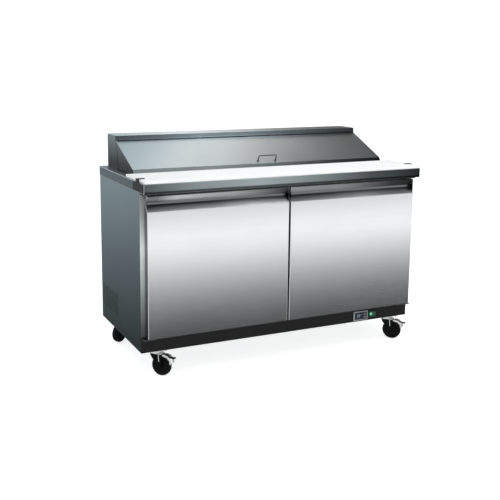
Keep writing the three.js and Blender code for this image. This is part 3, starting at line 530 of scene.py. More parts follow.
def pierced_sheet(us, vs, is_hole, axis, front, back):
    """A flat sheet across an axis, cut by a grid; cells named by is_hole(i, j) are left open."""
    target = bmesh.new()
    to_point = AXES[axis]
    filled = {(i, j) for i in range(len(us) - 1) for j in range(len(vs) - 1) if not is_hole(i, j)}
    corners = {}

    def corner(i, j, level):
        key = (i, j, level)
        if key not in corners:
            corners[key] = target.verts.new(to_point(us[i], vs[j], (front, back)[level]))
        return corners[key]

    for i, j in sorted(filled):
        for level in (0, 1):
            ring = [corner(i, j, level), corner(i + 1, j, level), corner(i + 1, j + 1, level),
                    corner(i, j + 1, level)]
            target.faces.new(ring if level else ring[::-1])
        sides = (((i, j), (i + 1, j), (i, j - 1)), ((i + 1, j), (i + 1, j + 1), (i + 1, j)),
                 ((i + 1, j + 1), (i, j + 1), (i, j + 1)), ((i, j + 1), (i, j), (i - 1, j)))
        for first, second, beyond in sides:
            if beyond not in filled:
                target.faces.new((corner(*first, 0), corner(*second, 0), corner(*second, 1), corner(*first, 1)))
    bmesh.ops.recalc_face_normals(target, faces=target.faces)
    return target


def tube(points, radius, sides=10, closed=False):
    """A round bar along a line of points, with flat ends; closed makes it a ring."""
    target = bmesh.new()
    points = [Vector(p) for p in points]
    count = len(points)
    rings = []
    normal = None
    for i, point in enumerate(points):
        ahead = points[(i + 1) % count] if closed or i < count - 1 else point
        behind = points[i - 1] if closed or i > 0 else point
        along = (ahead - behind).normalized()
        if normal is None:
            normal = along.orthogonal().normalized()
        normal = (normal - along * normal.dot(along)).normalized()
        side = along.cross(normal)
        rings.append([target.verts.new(point + (normal * c + side * s) * radius) for c, s in circle(sides)])
    pairs = list(zip(rings, rings[1:])) + ([(rings[-1], rings[0])] if closed else [])
    for first, second in pairs:
        shift = 0
        if closed and second is rings[0]:
            shift = min(range(sides), key=lambda s: (first[0].co - second[s].co).length)
        for k in range(sides):
            target.faces.new((first[k], first[(k + 1) % sides], second[(k + 1 + shift) % sides],
                              second[(k + shift) % sides]))
    if not closed:
        target.faces.new(rings[0][::-1])
        target.faces.new(rings[-1])
    return target


def turned(profile, sides=32, place=None, mesh=None):
    """A turned piece about Z from (radius, height) pairs; a radius of 0 closes an end."""
    target = mesh or bmesh.new()
    rings = []
    for radius, height in profile:
        if radius < 1e-6:
            rings.append([target.verts.new((0, 0, height))])
        else:
            rings.append([target.verts.new((radius * c, radius * s, height)) for c, s in circle(sides)])
    closed = profile[0] == profile[-1]
    if closed:
        for vert in rings.pop():
            target.verts.remove(vert)
        rings.append(rings[0])
    for first, second in zip(rings, rings[1:]):
        for k in range(sides):
            ring = [first[k % len(first)], first[(k + 1) % len(first)],
                    second[(k + 1) % len(second)], second[k % len(second)]]
            ring = [v for n, v in enumerate(ring) if v not in ring[:n]]
            if len(ring) > 2:
                target.faces.new(ring)
    made = {vert for ring in rings for vert in ring}
    if not closed:
        for ring in (rings[0], rings[-1]):
            if len(ring) > 2:
                target.faces.new(ring)
    faces = list({face for vert in made for face in vert.link_faces})
    bmesh.ops.recalc_face_normals(target, faces=faces)
    if place is not None:
        bmesh.ops.transform(target, matrix=place, verts=list(made))
    return target


def pointing(direction, at):
    """Places a piece turned about Z so that its Z points along a direction, at a point."""
    return Matrix.Translation(Vector(at)) @ Vector(direction).to_track_quat("Z", "Y").to_matrix().to_4x4()


def screw(mesh, at, direction, radius, height):
    """Pan-head screw with a hex socket."""
    turned([(0, height * 0.45), (radius * 0.42, height * 0.45), (radius * 0.42, height * 0.94),
            (radius * 0.72, height), (radius * 0.94, height * 0.6), (radius, height * 0.2), (radius, 0), (0, 0)],
           14, pointing(direction, at), mesh)


def screws(name, spots, direction, radius, height, look=ZINC):
    mesh = bmesh.new()
    for spot in spots:
        screw(mesh, spot, direction, radius, height)
    make(name, mesh, "cabinet", look, sharp=30, weighted=False)


def hexagon(mesh, at, direction, across, height):
    outline = [(across / 1.732 * c, across / 1.732 * s) for c, s in circle(6)]
    nut = prism(outline, "z", 0, height, 0.5, 2)
    nut.transform(pointing(direction, at))
    joined(mesh, nut)


def joined(target, *others):
    """Adds other meshes to a mesh, as separate closed shells."""
    for other in others:
        data = bpy.data.meshes.new("temporary")
        other.to_mesh(data)
        other.free()
        target.from_mesh(data)
        bpy.data.meshes.remove(data)
    return target


FLAT_WITHIN, EDGE_FROM = math.radians(0.6), math.radians(30)


def soften(node, radius, look, segments):
    """Keeps a CAD node's shape, cleans its faces and rounds its edges, and gives it a finish."""
    piece = NODES[node]
    data = piece.data
    if "custom_normal" in data.attributes:
        data.attributes.remove(data.attributes["custom_normal"])
    data.materials.clear()
    data.materials.append(look)
    for polygon in data.polygons:
        polygon.use_smooth = True
    weld = piece.modifiers.new("weld", "WELD")
    weld.merge_threshold = 1e-5
    flat = piece.modifiers.new("flat_faces", "DECIMATE")
    flat.decimate_type = "DISSOLVE"
    flat.angle_limit = FLAT_WITHIN
    if radius > 0:
        bevel = piece.modifiers.new("round_edges", "BEVEL")
        bevel.width = radius * MM
        bevel.segments = segments
        bevel.limit_method = "ANGLE"
        bevel.angle_limit = EDGE_FROM
        bevel.harden_normals = False
    normals = piece.modifiers.new("weighted_normals", "WEIGHTED_NORMAL")
    normals.keep_sharp = False


def arc(centre, radius, start, end, steps):
    """Points of an arc in a plane, angles in degrees."""
    return [(centre[0] + radius * math.cos(math.radians(start + (end - start) * k / steps)),
             centre[1] + radius * math.sin(math.radians(start + (end - start) * k / steps)))
            for k in range(steps + 1)]


# ------------------------------------------------------------------ cabinet shell
def sheet_piece(name, path, radii, ends, thickness, body, looks, pick, replaces, cap_extra=()):
    """Folded sheet-metal box along X, open on one side; pick(normal) chooses a look for each face.
    cap_extra adds corners to its two ends, after the path's last point."""
    mesh = bmesh.new()
    rows = [[mesh.verts.new((x, y, z)) for y, z in filleted(path, radii, 4)] for x in ends]
    for i in range(len(rows[0]) - 1):
        mesh.faces.new((rows[0][i], rows[0][i + 1], rows[1][i + 1], rows[1][i]))
    caps = [mesh.faces.new(row + [mesh.verts.new((x, y, z)) for y, z in cap_extra]) for row, x in zip(rows, ends)]
    bmesh.ops.recalc_face_normals(mesh, faces=mesh.faces)
    flip_if(mesh, min(caps, key=lambda cap: cap.calc_center_median().x), lambda n: n.x > 0)
    rims = [edge for cap in caps for edge in cap.edges if len(edge.link_faces) == 2]
    bmesh.ops.bevel(mesh, geom=rims, offset=2.0, offset_type="OFFSET", segments=2, profile=0.5,
                    affect="EDGES", clamp_overlap=False)
    for face in mesh.faces:
        face.material_index = pick(face.normal)
    piece = make(name, mesh, body, looks, replaces)
    thicken(piece, thickness)
    return piece


# The hood's looks are light and dark copies of one steel, chosen by face direction: painted reflection and painted
# shade.
def hood_faces(normal):
    """Looks of the hood: 0 top and back, 1 left end, 2 front band, 3 right end."""
    if abs(normal.x) > 0.7:
        return 1 if normal.x < 0 else 3
    return 2 if normal.y < -0.7 else 0


# The lid's looks are light and dark copies of one steel, chosen by face direction: painted shade and painted
# reflection.
def lid_faces(normal):
    """Looks of the lid: 0 slanted top, 1 left end, 2 front lip, 3 right end."""
    if abs(normal.x) > 0.7:
        return 1 if normal.x < 0 else 3
    return 0 if normal.z > 0.7 else 2


def make_worktop():
    low, high = extent("worktop")
    rack_low, rack_high = extent("pan_rack")
    well = (rack_low.x - 0.3, rack_low.y - 0.3, rack_high.x + 0.3, rack_high.y + 0.3)
    mesh = bmesh.new()

    def ring(x0, y0, x1, y1, z):
        return [mesh.verts.new((x, y, z)) for x, y in ((x0, y0), (x1, y0), (x1, y1), (x0, y1))]

    hem, ledge = 22, 6
    rings = [
        ring(low.x + hem, low.y + hem, high.x - hem, high.y - hem, low.z),
        ring(low.x, low.y, high.x, high.y, low.z),
        ring(low.x, low.y, high.x, high.y, high.z),
        ring(*well, high.z),
        ring(*well, rack_low.z - 0.3),
        ring(well[0] + ledge, well[1] + ledge, well[2] - ledge, well[3] - ledge, rack_low.z - 0.3),
        ring(well[0] + ledge, well[1] + ledge, well[2] - ledge, well[3] - ledge, low.z + 4),
    ]
    stitch(mesh, rings)
    bmesh.ops.recalc_face_normals(mesh, faces=mesh.faces)
    flip_if(mesh, max(mesh.faces, key=lambda face: face.calc_center_median().z), lambda n: n.z < 0)
    folds = [e for e in mesh.edges if len(e.link_faces) == 2 and e.calc_face_angle(0) > 0.5]
    round_edges(mesh, folds, 2.4, 3)
    # Looks by face direction: 0 top; 1 bands and walls facing front or back, with painted reflection and shade; 2
    # ends, a dark copy, painted shade; 3 upright rounded corners, a light copy, painted highlight.
    for face in mesh.faces:
        upright = abs(face.normal.z) < 0.3 and 0.45 < abs(face.normal.x) < 0.97
        side = 3 if upright else (2 if abs(face.normal.x) > 0.7 else 1)
        face.material_index = 0 if abs(face.normal.z) > 0.6 else side
    piece = make("worktop_sheet", mesh, "cabinet", [WORKTOP_TOP, STEEL_BAND, STEEL_END, STEEL_FOLD],
                 ["worktop"])
    thicken(piece, 1.5)


def make_board():
    low, high = extent("cutting_board")
    mesh = rounded_box(low, high, 1.8, 3)
    make("cutting_board_slab", mesh, "cabinet", BOARD_WHITE, ["cutting_board"])


def make_bracket(side, hand):
    low, high = extent(f"board_bracket_{hand}")
    board_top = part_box("cutting_board")[1].z / MM
    outer = low.x if side < 0 else high.x
    inner = outer - side * 3
    worktop_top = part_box("worktop")[1].z / MM
    arm = (-287, -253)
    outline = filleted([(low.y, low.z), (high.y, low.z), (high.y, worktop_top - 2), (arm[1], worktop_top - 2),
                        (arm[1], high.z), (arm[0], high.z), (arm[0], worktop_top - 2), (low.y, worktop_top - 2)],
                       [5, 5, 5, 4, 3, 3, 4, 5], 4)
    mesh = prism(outline, "x", inner, outer, 0.7, 2)
    tip = low.x if side > 0 else high.x
    finger = filleted([(inner, arm[0] + 6), (tip, arm[0] + 8), (tip, arm[1] - 8), (inner, arm[1] - 6)],
                      [0.5, 6, 6, 0.5], 5)
    if side > 0:
        finger = finger[::-1]
    joined(mesh, prism(finger, "z", board_top + 0.35, high.z, 0.7, 2))
    make(f"board_bracket_{hand}_moulding", mesh, "cabinet", BLACK_PLASTIC,
         [f"board_bracket_{hand}"])
    spots = [(outer - side * 1.3, y, z) for y, z in ((low.y + 14, 928), (arm[0] + 17, 920), (high.y - 14, 928))]
    screws(f"board_bracket_{hand}_screws", spots, (side, 0, 0), 3.8, 1.3)


def make_side(side, hand):
    low, high = extent(f"{hand}_side_panel")
    length, height = 42, 7.6                        # of a vent
    centres_y = [316 - column * 54 for column in range(4, -1, -1)]
    centres_z = [212 + row * 10.5 for row in range(11)]
    us = [low.y] + [y + half for y in centres_y for half in (-length / 2, length / 2)] + [high.y]
    vs = [low.z] + [z + half for z in centres_z for half in (-height / 2, height / 2)] + [high.z]
    outer = low.x if side < 0 else high.x
    mesh = pierced_sheet(us, vs, lambda i, j: i % 2 == 1 and j % 2 == 1, "x", outer, outer - side * SHEET)
    make(f"{hand}_side_sheet", mesh, "cabinet", STEEL_SIDE, [f"{hand}_side_panel"], weighted=False)
    blades = bmesh.new()
    bulge = ((0.06, 4.3), (0.8, 4.0), (1.6, 3.3), (2.1, 2.4), (2.2, 1.6), (1.7, 1.5), (1.4, 2.1),
             (1.0, 2.7), (0.5, 3.2), (0.06, 3.4))
    for y in centres_y:
        for z in centres_z:
            outline = [(outer + side * out, z + up) for out, up in bulge][::-side]
            prism(outline, "y", y - length / 2 + 0.5, y + length / 2 - 0.5, 0.0, 1, blades)
    make(f"{hand}_side_louvres", blades, "cabinet", STEEL_LOUVRE, sharp=50, weighted=False)
    fold_x, fold_y = outer - side * 2.1, low.y + 2.1
    fold = tube([(fold_x, fold_y, low.z + 0.5), (fold_x, fold_y, high.z - 0.5)], 2.05, 12)
    make(f"{hand}_side_front_fold", fold, "cabinet", STEEL_CORNER)


def make_hood():
    low, high = extent("hood_box")
    lid_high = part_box("lid_shell")[1] / MM
    band_y, band_z = 212.5, lid_high.z + 0.8
    path = [(high.y, low.z), (high.y, high.z), (band_y, high.z), (band_y, band_z)]
    sheet_piece("hood_sheet", path, [0, 3, 3, 0], (low.x, high.x), 1.4, "cabinet",
                [STEEL_TOP, HOOD_SIDE, HOOD_BAND, HOOD_END], hood_faces, ["hood_box"], [(low.y, low.z)])
    spots = [(x, high.y - 0.2, z) for x in (-690, -345, 0, 345, 690) for z in (966, 1104)]
    screws("hood_rear_screws", spots, (0, 1, 0), 4, 2)
    mesh = rounded_box((low.x + 2, band_y + 2, band_z + 1), (high.x - 2, band_y + 3.6, high.z - 2), 0.5, 1)
    make("hood_band_stiffener", mesh, "cabinet", HOOD_BAND)


LID_EDGE, LID_TOP = (-56, 978), (211.2, 1094.2)       # y, z at the foot and head of the lid's slant


def make_lid():
    low, high = extent("lid_shell")
    lip_z = 957
    path = [(high.y, high.z), LID_EDGE, (low.y, lip_z), (low.y, low.z)]
    sheet_piece("lid_sheet", path, [0, 5, 3, 0], (low.x, high.x), SHEET, "lid",
                [STEEL_LID, HOOD_SIDE, LID_LIP, HOOD_END], lid_faces, ["lid_shell"],
                [(extent("hood_box")[0].y - 2.4, low.z)])
    mesh = bmesh.new()
    path = [(low.x + 3, low.y + 3, low.z + 1.6), (high.x - 3, low.y + 3, low.z + 1.6)]
    joined(mesh, tube(path, 1.4, 10))
    make("lid_front_seal", mesh, "lid", GASKET_GREY)
    knuckles = bmesh.new()
    hinge_low, hinge_high = extent("lid_hinge")
    centre_y, centre_z = (hinge_low.y + hinge_high.y) / 2, (hinge_low.z + hinge_high.z) / 2
    for x in (-600, -300, 0, 300, 600):
        turned([(0, 0), (2.9, 0), (3.3, 0.5), (3.3, 39.5), (2.9, 40), (0, 40)], 16,
               pointing((1, 0, 0), (x - 20, centre_y, centre_z)), knuckles)
    make("lid_hinge_knuckles", knuckles, "cabinet", HOOD_BAND)


def make_lid_handle():
    low, high = extent("lid_handle")
    slope = (LID_TOP[1] - LID_EDGE[1]) / (LID_TOP[0] - LID_EDGE[0])
    normal = Vector((0, -slope, 1)).normalized()
    along = Vector((0, normal.z, -normal.y))
    foot = Vector((0, *LID_EDGE)) + along * 24
    left, right = low.x + 3, high.x - 3
    stand, bend = 31, 11
    path = [(left, 0.6), (left, stand - bend)]
    path += [(left + a, b) for a, b in arc((bend, stand - bend), bend, 180, 90, 6)[1:]]
    path += [(right + a, b) for a, b in arc((-bend, stand - bend), bend, 90, 0, 6)] + [(right, 0.6)]
    mesh = tube([foot + Vector((x, 0, 0)) + normal * rise for x, rise in path], 3, 14)
    for x in (left, right):
        turned([(0, 0), (6.6, 0), (7, 0.5), (6.4, 1.4), (4.2, 2.3), (3.4, 2.5), (0, 2.5)], 20,
               pointing(normal, foot + Vector((x, 0, 0)) + normal * 0.35), mesh)
    make("lid_handle_wire", mesh, "lid", HANDLE_WIRE, ["lid_handle"])


def make_kick_screws():
    low, high = extent("kick_plate")
    spots = [(x, low.y + 0.05, low.z + 14) for x in (low.x + 24, -380, 40, high.x - 24)]
    screws("kick_plate_screws", spots, (0, -1, 0), 3.4, 1.4, DARK_SHEET)


def make_back():
    low, high = extent("back_panel")
    grille_low = extent("rear_grille")[0]
    spots = [(x, high.y - 0.1, z) for x in (low.x + 12, -500, -250, 0, 250, 500, high.x - 12)
             for z in (low.z + 12, high.z - 16)]
    spots += [(x, high.y - 0.1, z) for x in (low.x + 12, high.x - 12) for z in (500, 640, 770)]
    spots += [(x, high.y - 0.1, z) for x in (low.x + 12, -315, 0, 315, high.x - 12)
              for z in (grille_low.z + 10, low.z - 12)]
    screws("rear_screws", spots, (0, 1, 0), 4, 2.1)
    low, high = extent("power_inlet_gland")
    centre = ((low.x + high.x) / 2, (low.z + high.z) / 2)
    mesh = bmesh.new()
    hexagon(mesh, (centre[0], low.y, centre[1]), (0, 1, 0), 23.5, 4)
    turned([(0, 0), (9, 0), (9, 3.5), (8.2, 5), (5.2, high.y - low.y - 3.8), (4.6, high.y - low.y - 4),
            (4.4, 3), (0, 3)], 32, pointing((0, 1, 0), (centre[0], low.y + 3.8, centre[1])), mesh)
    make("power_inlet_gland_cap", mesh, "cabinet", BLACK_PLASTIC, ["power_inlet_gland"])


# ------------------------------------------------------------------ doors
def door_faces(normal):
    """Looks of a door: 0 front, 1 edges, a dark copy with painted shade, 3 slope of the pull, 4 rounded rims, a light
    copy with a painted highlight; 2 is its lip.
    """
    if abs(normal.x) > 0.2:
        return 1 if abs(normal.x) > 0.95 else 4
    return 3 if 0.35 < normal.z < 0.97 else 0


def make_door(side, hand):
    low, high = extent(f"door_skin_{hand}")
    pull_bottom, pull_back, slope_top, slot_top, lip_low = 817, low.y + 32, 847, 876, 859
    path = [(high.y, low.z), (low.y, low.z), (low.y, pull_bottom), (pull_back, slope_top), (pull_back, slot_top),
            (low.y + 11, slot_top), (low.y + 20.5, lip_low + 1.2), (low.y + 18.5, lip_low), (low.y, high.z),
            (high.y, high.z)]
    radii = [0, 2.2, 4, 4, 3, 2.5, 1.0, 1.0, 2.2, 0]
    piece = sheet_piece(f"door_{hand}_sheet", path, radii, (low.x, high.x), SHEET, f"door_{hand}",
                        [STEEL_DOOR, STEEL_DOOR_EDGE, DOOR_LIP, DOOR_PULL, STEEL_FOLD], door_faces,
                        [f"door_skin_{hand}"])
    # Faces under the door and deep in the pull's slot take the dark edge look, a painted shade; the front faces of
    # the top lip take the lip's look.
    for polygon in piece.data.polygons:
        if polygon.center.z < low.z * MM + 0.004 and polygon.normal.z < -0.15:
            polygon.material_index = 1
        if polygon.material_index == 0 and polygon.center.z > 0.84:
            polygon.material_index = 1 if polygon.center.y > (low.y + 24) * MM else 2
    soften(f"door_liner_{hand}", 1.6, WHITE_PLASTIC, 3)
    make_gasket(hand)
    make_hinge(side, hand, "top")
    make_hinge(side, hand, "bottom")


def frame_sweep(profile, low, high):
    """A picture-frame moulding around a box; the profile is (inwards, backwards) and closes on itself."""
    mesh = bmesh.new()
    rings = [[mesh.verts.new((x, low.y + back, z)) for x, z in (
        (low.x + inward, low.z + inward), (high.x - inward, low.z + inward),
        (high.x - inward, high.z - inward), (low.x + inward, high.z - inward))] for inward, back in profile]
    stitch(mesh, rings + rings[:1])
    bmesh.ops.recalc_face_normals(mesh, faces=mesh.faces)
    return mesh


def make_gasket(hand):
    low, high = extent(f"door_gasket_{hand}")
    profile = [(1.2, 0), (12.8, 0), (13.6, 0.7), (13.4, 1.5), (12.2, 2.2), (13.4, 2.9), (14, 3.8), (13.8, 5.4),
               (12.6, 6.3), (9.2, 6.4), (7, 6.0), (4.8, 6.4), (1.4, 6.3), (0.2, 5.4), (0, 3.8), (0.6, 2.9),
               (1.8, 2.2), (0.6, 1.5), (0.4, 0.7)]
    mesh = frame_sweep(profile, low, high)
    make(f"door_gasket_{hand}_bellows", mesh, f"door_{hand}", GASKET_GREY,
         [f"door_gasket_{hand}"], sharp=60)


def make_hinge(side, hand, place):
    node = f"door_hinge_{place}_{hand}"
    low, high = extent(node)
    pin_at = Matrix.Translation((side * 731, -314, 0))
    shelf = (893, 897) if place == "top" else (201, 205)
    leaf_z = 893 if place == "top" else 190
    outline = [(low.y, shelf[0]), (low.y, shelf[1]), (high.y, shelf[1]), (high.y, leaf_z)]
    radii = [1.2, 1.2, 2.4, 0.8]
    if place == "bottom":
        outline += [(high.y - 2.6, leaf_z), (high.y - 2.6, shelf[0])]
        radii += [0.8, 1.2]
    mesh = prism(filleted(outline, radii, 3)[::-1], "x", low.x, high.x, 0.6, 2)
    if place == "top":
        pin = [(0, low.z), (4, low.z), (5, low.z + 1.2), (5, 892.9), (0, 892.9)]
    else:
        pin = [(0, 205.1), (5, 205.1), (5, high.z - 1.2), (4, high.z), (0, high.z)]
    turned(pin, 24, pin_at, mesh)
    washer_z = 891.0 if place == "top" else 205.1
    turned([(5.3, washer_z), (9, washer_z), (9, washer_z + 1.6), (5.3, washer_z + 1.6), (5.3, washer_z)], 24,
           pin_at, mesh)
    make(f"{node}_plate", mesh, "cabinet", BRACKET_METAL, [node])
    if place == "bottom":
        screws(f"{node}_screws", [(side * x, low.y + 34.6, 196) for x in (710, 751)], (0, -1, 0), 3.4, 1.6)


# ------------------------------------------------------------------ pan rail
def rounded_rectangle(half_x, half_y, radius):
    corners = [(half_x, half_y), (-half_x, half_y), (-half_x, -half_y), (half_x, -half_y)]
    return filleted(corners, radius, 5)


def make_pans():
    for row, node in enumerate(("pan_row_front", "pan_row_rear")):
        low, high = extent(node)
        pitch = 168.5
        middle = (low.y + high.y) / 2
        for column in range(8):
            x = (low.x + high.x) / 2 + (column - 3.5) * pitch
            levels = [(82.3, 85.8, 11, high.z - 2.0), (82.5, 86, 11, high.z - 0.9), (81.6, 85.1, 11, high.z),
                      (76.0, 79.4, 17, high.z - 0.2), (73.4, 76.8, 17, high.z - 1.6), (72.6, 76.0, 17, high.z - 4.5),
                      (72.2, 75.6, 17, high.z - 22), (70.6, 74.0, 17, high.z - 24), (66.8, 70.2, 18, low.z + 9),
                      (65.0, 68.4, 17, low.z + 3.4), (61.5, 64.9, 14, low.z + 0.8)]
            mesh = bmesh.new()
            rings = [[mesh.verts.new((x + a, middle + b, z)) for a, b in rounded_rectangle(half_x, half_y, radius)]
                     for half_x, half_y, radius, z in levels]
            stitch(mesh, rings)
            mesh.faces.new(rings[-1])
            bmesh.ops.recalc_face_normals(mesh, faces=mesh.faces)
            flip_if(mesh, min(mesh.faces, key=lambda face: face.calc_center_median().z), lambda n: n.z < 0)
            name = f"pan_{'rear' if row else 'front'}_{column + 1}"
            piece = make(name, mesh, "cabinet", STEEL_PAN, sharp=60)
            thicken(piece, 0.7)
        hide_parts(node)


# ------------------------------------------------------------------ inside the cabin
def make_shelf(hand):
    low, high = extent(f"shelf_{hand}")
    radius = 3.0
    corners = filleted([(low.x + radius, low.y + radius), (high.x - radius, low.y + radius),
                        (high.x - radius, high.y - radius), (low.x + radius, high.y - radius)], 10, 4)
    z = low.z + radius + 0.1
    mesh = tube([(a, b, z) for a, b in corners], radius, 10, True)
    count = 26
    for k in range(1, count):
        x = low.x + (high.x - low.x) * k / count
        joined(mesh, tube([(x, low.y + 3.5, high.z - 1.9), (x, high.y - 3.5, high.z - 1.9)], 1.6, 8))
    for share in (0.25, 0.5, 0.75):
        y = low.y + (high.y - low.y) * share
        joined(mesh, tube([(low.x + 4, y, high.z - 5.1), (high.x - 4, y, high.z - 5.1)], 1.8, 8))
    make(f"shelf_{hand}_wires", mesh, "cabinet", ZINC, [f"shelf_{hand}"], weighted=False)


def fan_blades(radius, hub, depth, blades, chord=0.95):
    """Fan about Z: a domed hub and swept, twisted blades."""
    mesh = turned([(0, -depth / 2), (hub - 1.5, -depth / 2), (hub, -depth / 2 + 1.5), (hub, depth / 2 - 4),
                   (hub - 3, depth / 2 - 1), (hub - 9, depth / 2), (0, depth / 2)], 32)
    spans, chords, thick, pitch = 7, 6, 0.8, 0.5
    for blade in range(blades):
        base = 2 * math.pi * blade / blades
        layers = []
        for level in (-thick, thick):
            grid = []
            for i in range(spans + 1):
                s = i / spans
                r = hub - 1 + (radius - hub + 1) * s
                width = chord * (0.75 + 0.4 * math.sin(math.pi * min(1, s * 0.8 + 0.15)))
                row = []
                for j in range(chords + 1):
                    c = j / chords - 0.5
                    angle = base + width * c + 0.35 * s
                    lift = math.tan(pitch * (1 - 0.45 * s)) * width * c * r * 0.55 + 2 * (0.25 - c * c)
                    row.append(mesh.verts.new((r * math.cos(angle), r * math.sin(angle), lift + level)))
                grid.append(row)
            layers.append(grid)
        for i in range(spans):
            for j in range(chords):
                for grid, order in zip(layers, (1, -1)):
                    mesh.faces.new([grid[i][j], grid[i][j + 1], grid[i + 1][j + 1], grid[i + 1][j]][::order])
        rim = [(i, 0) for i in range(spans)] + [(spans, j) for j in range(chords)]
        rim += [(i, chords) for i in range(spans, 0, -1)] + [(0, j) for j in range(chords, 0, -1)]
        for a, b in zip(rim, rim[1:] + rim[:1]):
            mesh.faces.new((layers[0][a[0]][a[1]], layers[0][b[0]][b[1]],
                            layers[1][b[0]][b[1]], layers[1][a[0]][a[1]]))
    bmesh.ops.recalc_face_normals(mesh, faces=mesh.faces)
    return mesh


def make_evaporator():
    low, high = extent("evaporator_cover")
    fan_low, fan_high = extent("evaporator_fan")
    centre = (fan_low + fan_high) / 2
    guard = bmesh.new()
    y = low.y - 2.4
    for radius in (16, 27, 38, 49, 60, 71):
        joined(guard, tube([(centre.x + radius * c, y, centre.z + radius * s) for c, s in circle(48)],
                           1.0, 8, True))
    for c, s in circle(8)[1::2]:
        joined(guard, tube([(centre.x + r * c, y + 1.9, centre.z + r * s) for r in (8, 40, 78)], 1.2, 8))
    make("evaporator_fan_guard", guard, "cabinet", ZINC, weighted=False)
    spots = [(x, low.y + 0.1, z) for x in (low.x + 14, high.x - 14) for z in (low.z + 14, high.z - 14)]
    screws("evaporator_screws", spots, (0, -1, 0), 4, 2)
    mesh = fan_blades((fan_high.x - fan_low.x) / 2, 20, 15, 5)
    make("evaporator_fan_blades", mesh, "evaporator_fan", BLACK_PLASTIC, ["evaporator_fan"],
         place=pointing((0, -1, 0), centre), weighted=False)


def make_machine():
    low, high = extent("compressor")
    centre = Vector((380, 215, 0))
    floor = low.z
    profile = [(0, 12), (52, 12), (64, 15), (72, 24), (75.5, 40), (75.8, 66), (78, 68), (78, 73), (75.8, 75),
               (75.2, 96), (71, 118), (60, 138), (42, 150), (20, 155.2), (0, 156)]
    mesh = turned([(r * 0.97, floor + h) for r, h in profile], 56, Matrix.Translation(centre))
    base = filleted([(low.x, low.y + 4), (high.x, low.y + 4), (high.x, high.y - 11), (low.x, high.y - 11)], 10, 4)
    joined(mesh, prism([(a, b) for a, b in base], "z", floor + 7, floor + 10, 0.8, 2))
    for x in (low.x + 14, high.x - 14):
        for y in (low.y + 20, high.y - 28):
            turned([(0, 0), (11, 0), (12, 2), (9, 4.5), (9, 6.8), (0, 6.8)], 20,
                   Matrix.Translation((x, y, floor)), mesh)
            hexagon(mesh, (x, y, floor + 10), (0, 0, 1), 10, 5)
    make("compressor_pot", mesh, "cabinet", COMPRESSOR_BLACK, ["compressor"])
    box_mesh = rounded_box((centre.x - 24, centre.y - 96, floor + 52), (centre.x + 24, centre.y - 73, floor + 108),
                           4, 3)
    make("compressor_terminal_box", box_mesh, "cabinet", BLACK_PLASTIC)
    tubes = tube([(centre.x - 66, centre.y + 30, floor + 96), (centre.x - 92, centre.y + 44, floor + 98),
                  (centre.x - 108, centre.y + 52, floor + 110), (centre.x - 112, centre.y + 54, floor + 150),
                  (centre.x - 112, centre.y + 54, floor + 176)], 4, 12)
    joined(tubes, tube([(centre.x - 70, centre.y - 20, floor + 60), (centre.x - 104, centre.y - 30, floor + 58),
                        (centre.x - 180, centre.y - 34, floor + 40), (centre.x - 420, centre.y - 34, floor + 30),
                        (-610, centre.y - 34, floor + 34)], 3.2, 12))
    make("refrigerant_tubes", tubes, "cabinet", COPPER)
    fan_low, fan_high = extent("condenser_fan")
    mesh = fan_blades((fan_high.y - fan_low.y) / 2, 22, 17, 5, 0.9)
    make("condenser_fan_blades", mesh, "condenser_fan", BLACK_PLASTIC, ["condenser_fan"],
         place=pointing((1, 0, 0), (fan_low + fan_high) / 2), weighted=False)


# ------------------------------------------------------------------ controls
SEGMENTS = {"3": "abgcd", "8": "abcdefg"}


def seven_segment(mesh, digit, x, z, width, height, y):
    """A digit of seven slanted-end bars, its lower left corner at x, z."""
    thick, lean = 1.9, 0.10
    half = height / 2
    places = {"a": ((0, height), (width, height)), "g": ((0, half), (width, half)), "d": ((0, 0), (width, 0)),
              "f": ((0, half), (0, height)), "b": ((width, half), (width, height)),
              "e": ((0, 0), (0, half)), "c": ((width, 0), (width, half))}
    for letter in SEGMENTS[digit]:
        start, end = (Vector(p) for p in places[letter])
        along = (end - start).normalized()
        across = Vector((-along.y, along.x)) * thick / 2
        start, end = start + along * 0.5, end - along * 0.5
        points = [start, start + along * thick / 2 + across, end - along * thick / 2 + across, end,
                  end - along * thick / 2 - across, start + along * thick / 2 - across]
        outline = [(x + p.x + lean * p.y, z + p.y) for p in points]
        prism(outline, "y", y, y - 0.12, 0, 1, mesh)


